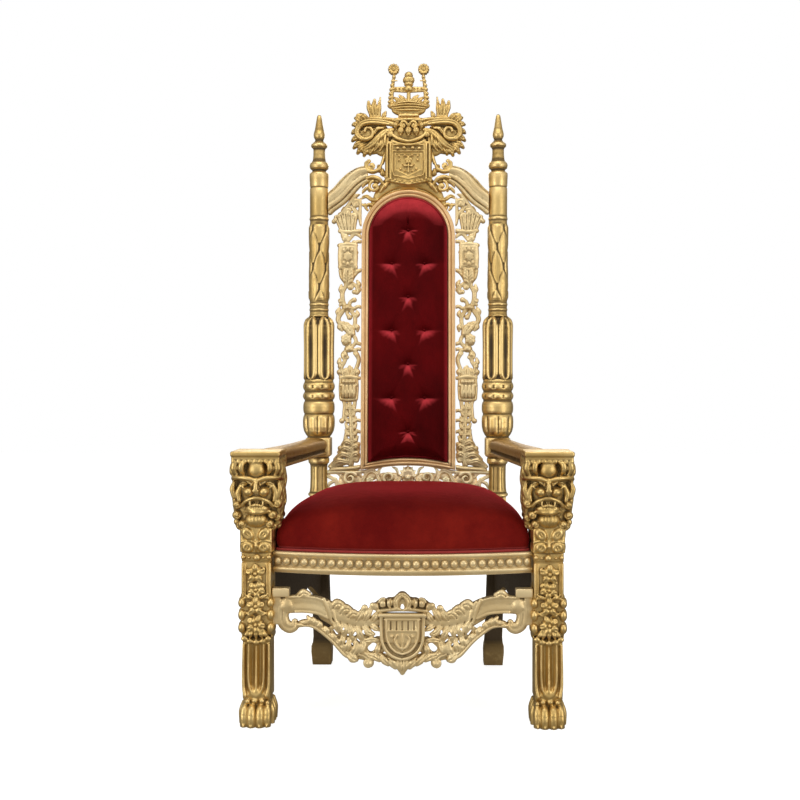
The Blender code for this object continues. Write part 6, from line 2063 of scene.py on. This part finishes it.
        # bud that ties the hook to the strand of leaves under the arm
        clay.ball((side * .25, -.002, .25), (.019, .011, .0095), turn=side * .3, soft=.002)
        clay.press(drawn("264 254, 234 245", side), .003, .0034)
        strand = drawn("246 248, 226 246, 206 235, 175.5 210, 156 189, 140 173, 122 166")
        rod(side, strand, [.007, .008, .0084, .0086, .0088, .0092, .008], flat=.95, soft=.002, y=-.002)
        clay.press([(side * x, z) for x, z in strand], .0032, .0036)
        shares = np.linspace(0, 1, len(strand))
        for index in range(7):
            share = .1 + .105 * index
            x, z = (float(np.interp(share, shares, [p[axis] for p in strand])) for axis in (0, 1))
            tall = .02 - .0008 * index
            lobe(side, [(x, z), (x - .003, z + tall * .55), (x + .0035, z + tall)], .006, groove=.0026)
        # leaves that cross the open part between arm and strand
        for points, r in ((drawn("156 196, 150 208, 150 220"), .007),
                          (drawn("142 180, 135 196, 134 212"), .0076),
                          (drawn("128 172, 117 186, 114 204"), .009),
                          (drawn("114 174, 102 186, 94 202"), .0084), (drawn("94 206, 78 210, 58 208"), .0066)):
            lobe(side, points, r)
        clay.ball((side * .11, -.004, .188), (.015, .01, .012), soft=.002)
        for start, end, r in (((.072, .193), (.079, .187), .0085), ((.117, .227), (.121, .221), .004),
                              ((.145, .24), (.15, .234), .0038), ((.164, .224), (.17, .233), .0034),
                              ((.096, .233), (.101, .228), .003), ((.133, .226), (.137, .22), .003),
                              ((.108, .204), (.113, .209), .0028), ((.124, .195), (.129, .201), .0028),
                              ((.064, .222), (.07, .217), .0028), ((.096, .181), (.1, .178), .0026),
                              ((.14, .206), (.143, .201), .0026), ((.062, .166), (.066, .162), .0024)):
            slot(side, start, end, r)
        # rounded end of the strand, the pendant curl and the leaves under the shield
        lobe(side, drawn("134 174, 124 164, 116 160"), .0096)
        rod(side, drawn("108 176, 94 172, 84 162, 80 150, 86 144"), [.008, .009, .0094, .0088, .0064], y=-.002)
        curl(clay, side, (.085, .151), .01, 1.1, .6, .004, y=-.008, way=-1, flat=1.0, eye=1.3)
        clay.press(drawn("106 176, 94 171, 85 163", side), .0032, .0034)
        for points, r in ((drawn("86 172, 72 168, 58 158"), .0078), (drawn("56 170, 44 158, 36 148"), .008),
                          (drawn("36 162, 26 152, 18 140"), .008), (drawn("16 160, 10 148, 4 132"), .008),
                          (drawn("56 200, 62 186, 62 174"), .0064)):
            lobe(side, points, r)
    lobe(1, drawn("0 162, 0 144, 0 127"), .009)
    clay.trim((-.3254, -.0215, .1192), (.3254, .015, .3398))
    return fired(clay, .36)


def side_apron_mesh():
    """A board with a cyma lower edge, its outer face carved with two leaf scrolls off a middle flower.

    Modelled with its length along x, its carved face to -y and the front end at -x.
    """
    length = .487
    clay = Clay((-length / 2, -.018, .205), (length / 2, .012, .3765), .002)
    clay.block((-length / 2 - .01, -.0075, .2), (length / 2 + .01, .0085, .3757), edge=0.0, soft=0.0)
    shares = np.linspace(0, 1, 81)
    drop = .138 + .018 * np.cos(math.tau * 2 * shares) + .01 * np.cos(math.tau * shares)
    edge_x, edge_z = (shares - .5) * length, .3757 - drop
    x, z = clay.line(0), clay.line(2)
    below = (np.interp(x, edge_x, edge_z)[:, None] - z[None, :]) * .93
    np.maximum(clay.field, below[:, None, :].astype(np.float32), out=clay.field)
    border = [(a, b) for a, b in zip(edge_x[4:-4:4], edge_z[4:-4:4] + .006)]
    clay.stroke([(a, -.008, b) for a, b in border], .0048, soft=.001, steps=2)
    clay.press([(a, b + .0095) for a, b in border], .003, .0022, steps=2)
    clay.stroke([(-length / 2, -.008, .368), (length / 2, -.008, .368)], .0042, soft=.001)
    rosette(clay, 0.0, -.007, .304, .024, petals=8, depth=.34)
    for side in (-1, 1):
        stem = drawn("26 300, 60 324, 98 326, 128 302, 160 282, 190 290, 212 316")
        clay.stroke(flat_path(stem, side, y=-.008), "4 6.2 5.8 5.2 4", soft=.0015, flat=.9)
        clay.press([(side * a, b) for a, b in stem], .0022, .0022)
        curl(clay, side, (.085, .298), .021, 1.4, 1.5, .005, y=-.008, way=-1, eye=1.5)
        curl(clay, side, (.178, .316), .02, 1.4, 4.7, .005, y=-.008, way=1, eye=1.5)
        for points, width, lobes in (("40 296, 62 276, 90 262", .02, 5), ("118 310, 126 336, 146 352", .017, 5),
                                     ("134 290, 152 266, 180 256", .019, 5),
                                     ("30 316, 42 340, 64 350", .016, 4)):
            acanthus(clay, side, drawn(points), width, lobes=lobes, depth=.6, y=-.006, rise=.004)
    clay.trim((-length / 2, -.0165, .2), (length / 2, .0088, .3757))
    mesh = fired(clay, .24)
    # the inner face gets painted shade, a near-black brown, as it lies in shadow
    set_hollow(mesh, np.maximum(hollows_of(mesh), np.where(coordinates(mesh)[:, 1] > .007, .76, -1)))
    return mesh


def put(name, mesh, material, nodes, matrix=None):
    """A finished piece on the frame's one body, standing for its CAD nodes."""
    item = bpy.data.objects.new(name, mesh if matrix is None else moved(mesh, matrix))
    item.data.name = name
    item.data.materials.clear()
    item.data.materials.append(material)
    bpy.context.scene.collection.objects.link(item)
    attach(item, "root")
    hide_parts(*nodes)
    return item


def throne():
    gold = gilding("gilded_wood", (.7, .5, .2), (.52, .34, .11), (.07, .038, .01), .42)
    pale = gilding("champagne_gilding", (.74, .59, .33), (.58, .42, .2), (.1, .06, .022), .44, metal=.8)
    rosy = gilding("rosy_gilding", (.74, .5, .26), (.58, .36, .16), (.1, .056, .022), .44, metal=.8)
    # paler gilding for the tracery: partly its own paler colour, partly painted light that offsets the shade
    # under the pad
    ivory_and_lit = gilding("ivory_and_lit_gilding", (.98, .8, .5), (.82, .62, .35), (.22, .126, .044), .44, metal=.7)
    # a darker copy of the gilding: painted shade on the arms
    shaded = gilding("shaded_gilding", (.4, .25, .075), (.24, .13, .032), (.03, .015, .004), .42)
    red = velvet("red_velvet")
    lean = (Matrix.Translation((0, POST_Y, SEAT)) @ Matrix.Rotation(-RAKE, 4, "X")
            @ Matrix.Translation((0, 0, -SEAT)))
    mirror = Matrix.Scale(-1, 4, (1, 0, 0))

    leg = front_leg_mesh()
    place = Matrix.Translation((LEG_X, LEG_Y, 0))
    put("lion_leg_right", leg, gold, ["front_leg_right"], place @ mirror)
    put("lion_leg_left", leg, gold, ["front_leg_left"], mirror @ place @ mirror)
    for side, word in ((-1, "left"), (1, "right")):
        put(f"turned_post_{word}", back_post_mesh(side), gold, [f"back_post_{word}"])
        put(f"moulded_arm_{word}", arm_mesh(side), shaded, [f"arm_{word}"])
        put(f"beaded_side_rail_{word}", side_rail_mesh(side), gold, [f"side_rail_{word}"])
    board = side_apron_mesh()
    for side, word in ((-1, "left"), (1, "right")):
        start, end = side_run(side, .018)
        middle, run = (start + end) / 2, end - start
        spot = Matrix.Translation((middle.x, middle.y, 0)) @ Matrix.Rotation(math.atan2(run.y, run.x), 4, "Z")
        if side < 0:
            spot = spot @ Matrix.Scale(-1, 4, (0, 1, 0))
        put(f"carved_side_apron_{word}", board, gold, [f"side_apron_{word}"], spot)
    put("beaded_front_rail", front_rail_mesh(), pale, ["front_rail"])
    put("plain_back_rail", back_rail_mesh(), gold, ["back_rail"])
    put("carved_front_apron", front_apron_mesh(), pale, ["front_apron"],
        Matrix.Translation((0, APRON_Y, 0)))
    put("moulded_back_frame", back_frame_mesh(), rosy, ["back_frame"], lean)
    for name, mesh in (("moulded_yoke", yoke_mesh()), ("pierced_filigree", filigree_mesh())):
        node = name.split("_")[1]
        put(f"{name}_right", mesh, pale, [f"{node}_right"], lean)
        put(f"{name}_left", mesh, pale, [f"{node}_left"], lean @ mirror)
    put("scrolled_tracery", lower_tracery_mesh(), ivory_and_lit, ["lower_tracery"], lean)
    put("carved_crest", crest_mesh(), gold, ["crest"], lean)
    put("beaded_crown", crown_mesh(), gold, ["crown"], lean)

    pad = put("tufted_back_pad", back_pad_mesh(), red, ["back_pad"], lean)
    put("back_pad_piping", pad_piping_mesh(), red, ["back_pad"], lean)
    put("covered_buttons", button_meshes(), red, [f"back_button_{n}" for n in range(1, 11)], lean)
    seat = put("seat_cushion_cover", seat_cushion_mesh(), red, ["seat_cushion"])
    put("seat_welt", welt_mesh(), red, ["seat_cushion"])
    put("seat_deck", seat_deck_mesh(), plain_cloth("dust_cloth"), ["seat_cushion"])


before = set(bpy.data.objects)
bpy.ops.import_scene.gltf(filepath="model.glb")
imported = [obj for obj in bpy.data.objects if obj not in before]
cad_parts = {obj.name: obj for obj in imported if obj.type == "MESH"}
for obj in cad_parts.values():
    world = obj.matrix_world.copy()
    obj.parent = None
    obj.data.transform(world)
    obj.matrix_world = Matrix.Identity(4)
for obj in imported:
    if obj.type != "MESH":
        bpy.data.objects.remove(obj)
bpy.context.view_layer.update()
throne()
studio()
camera()
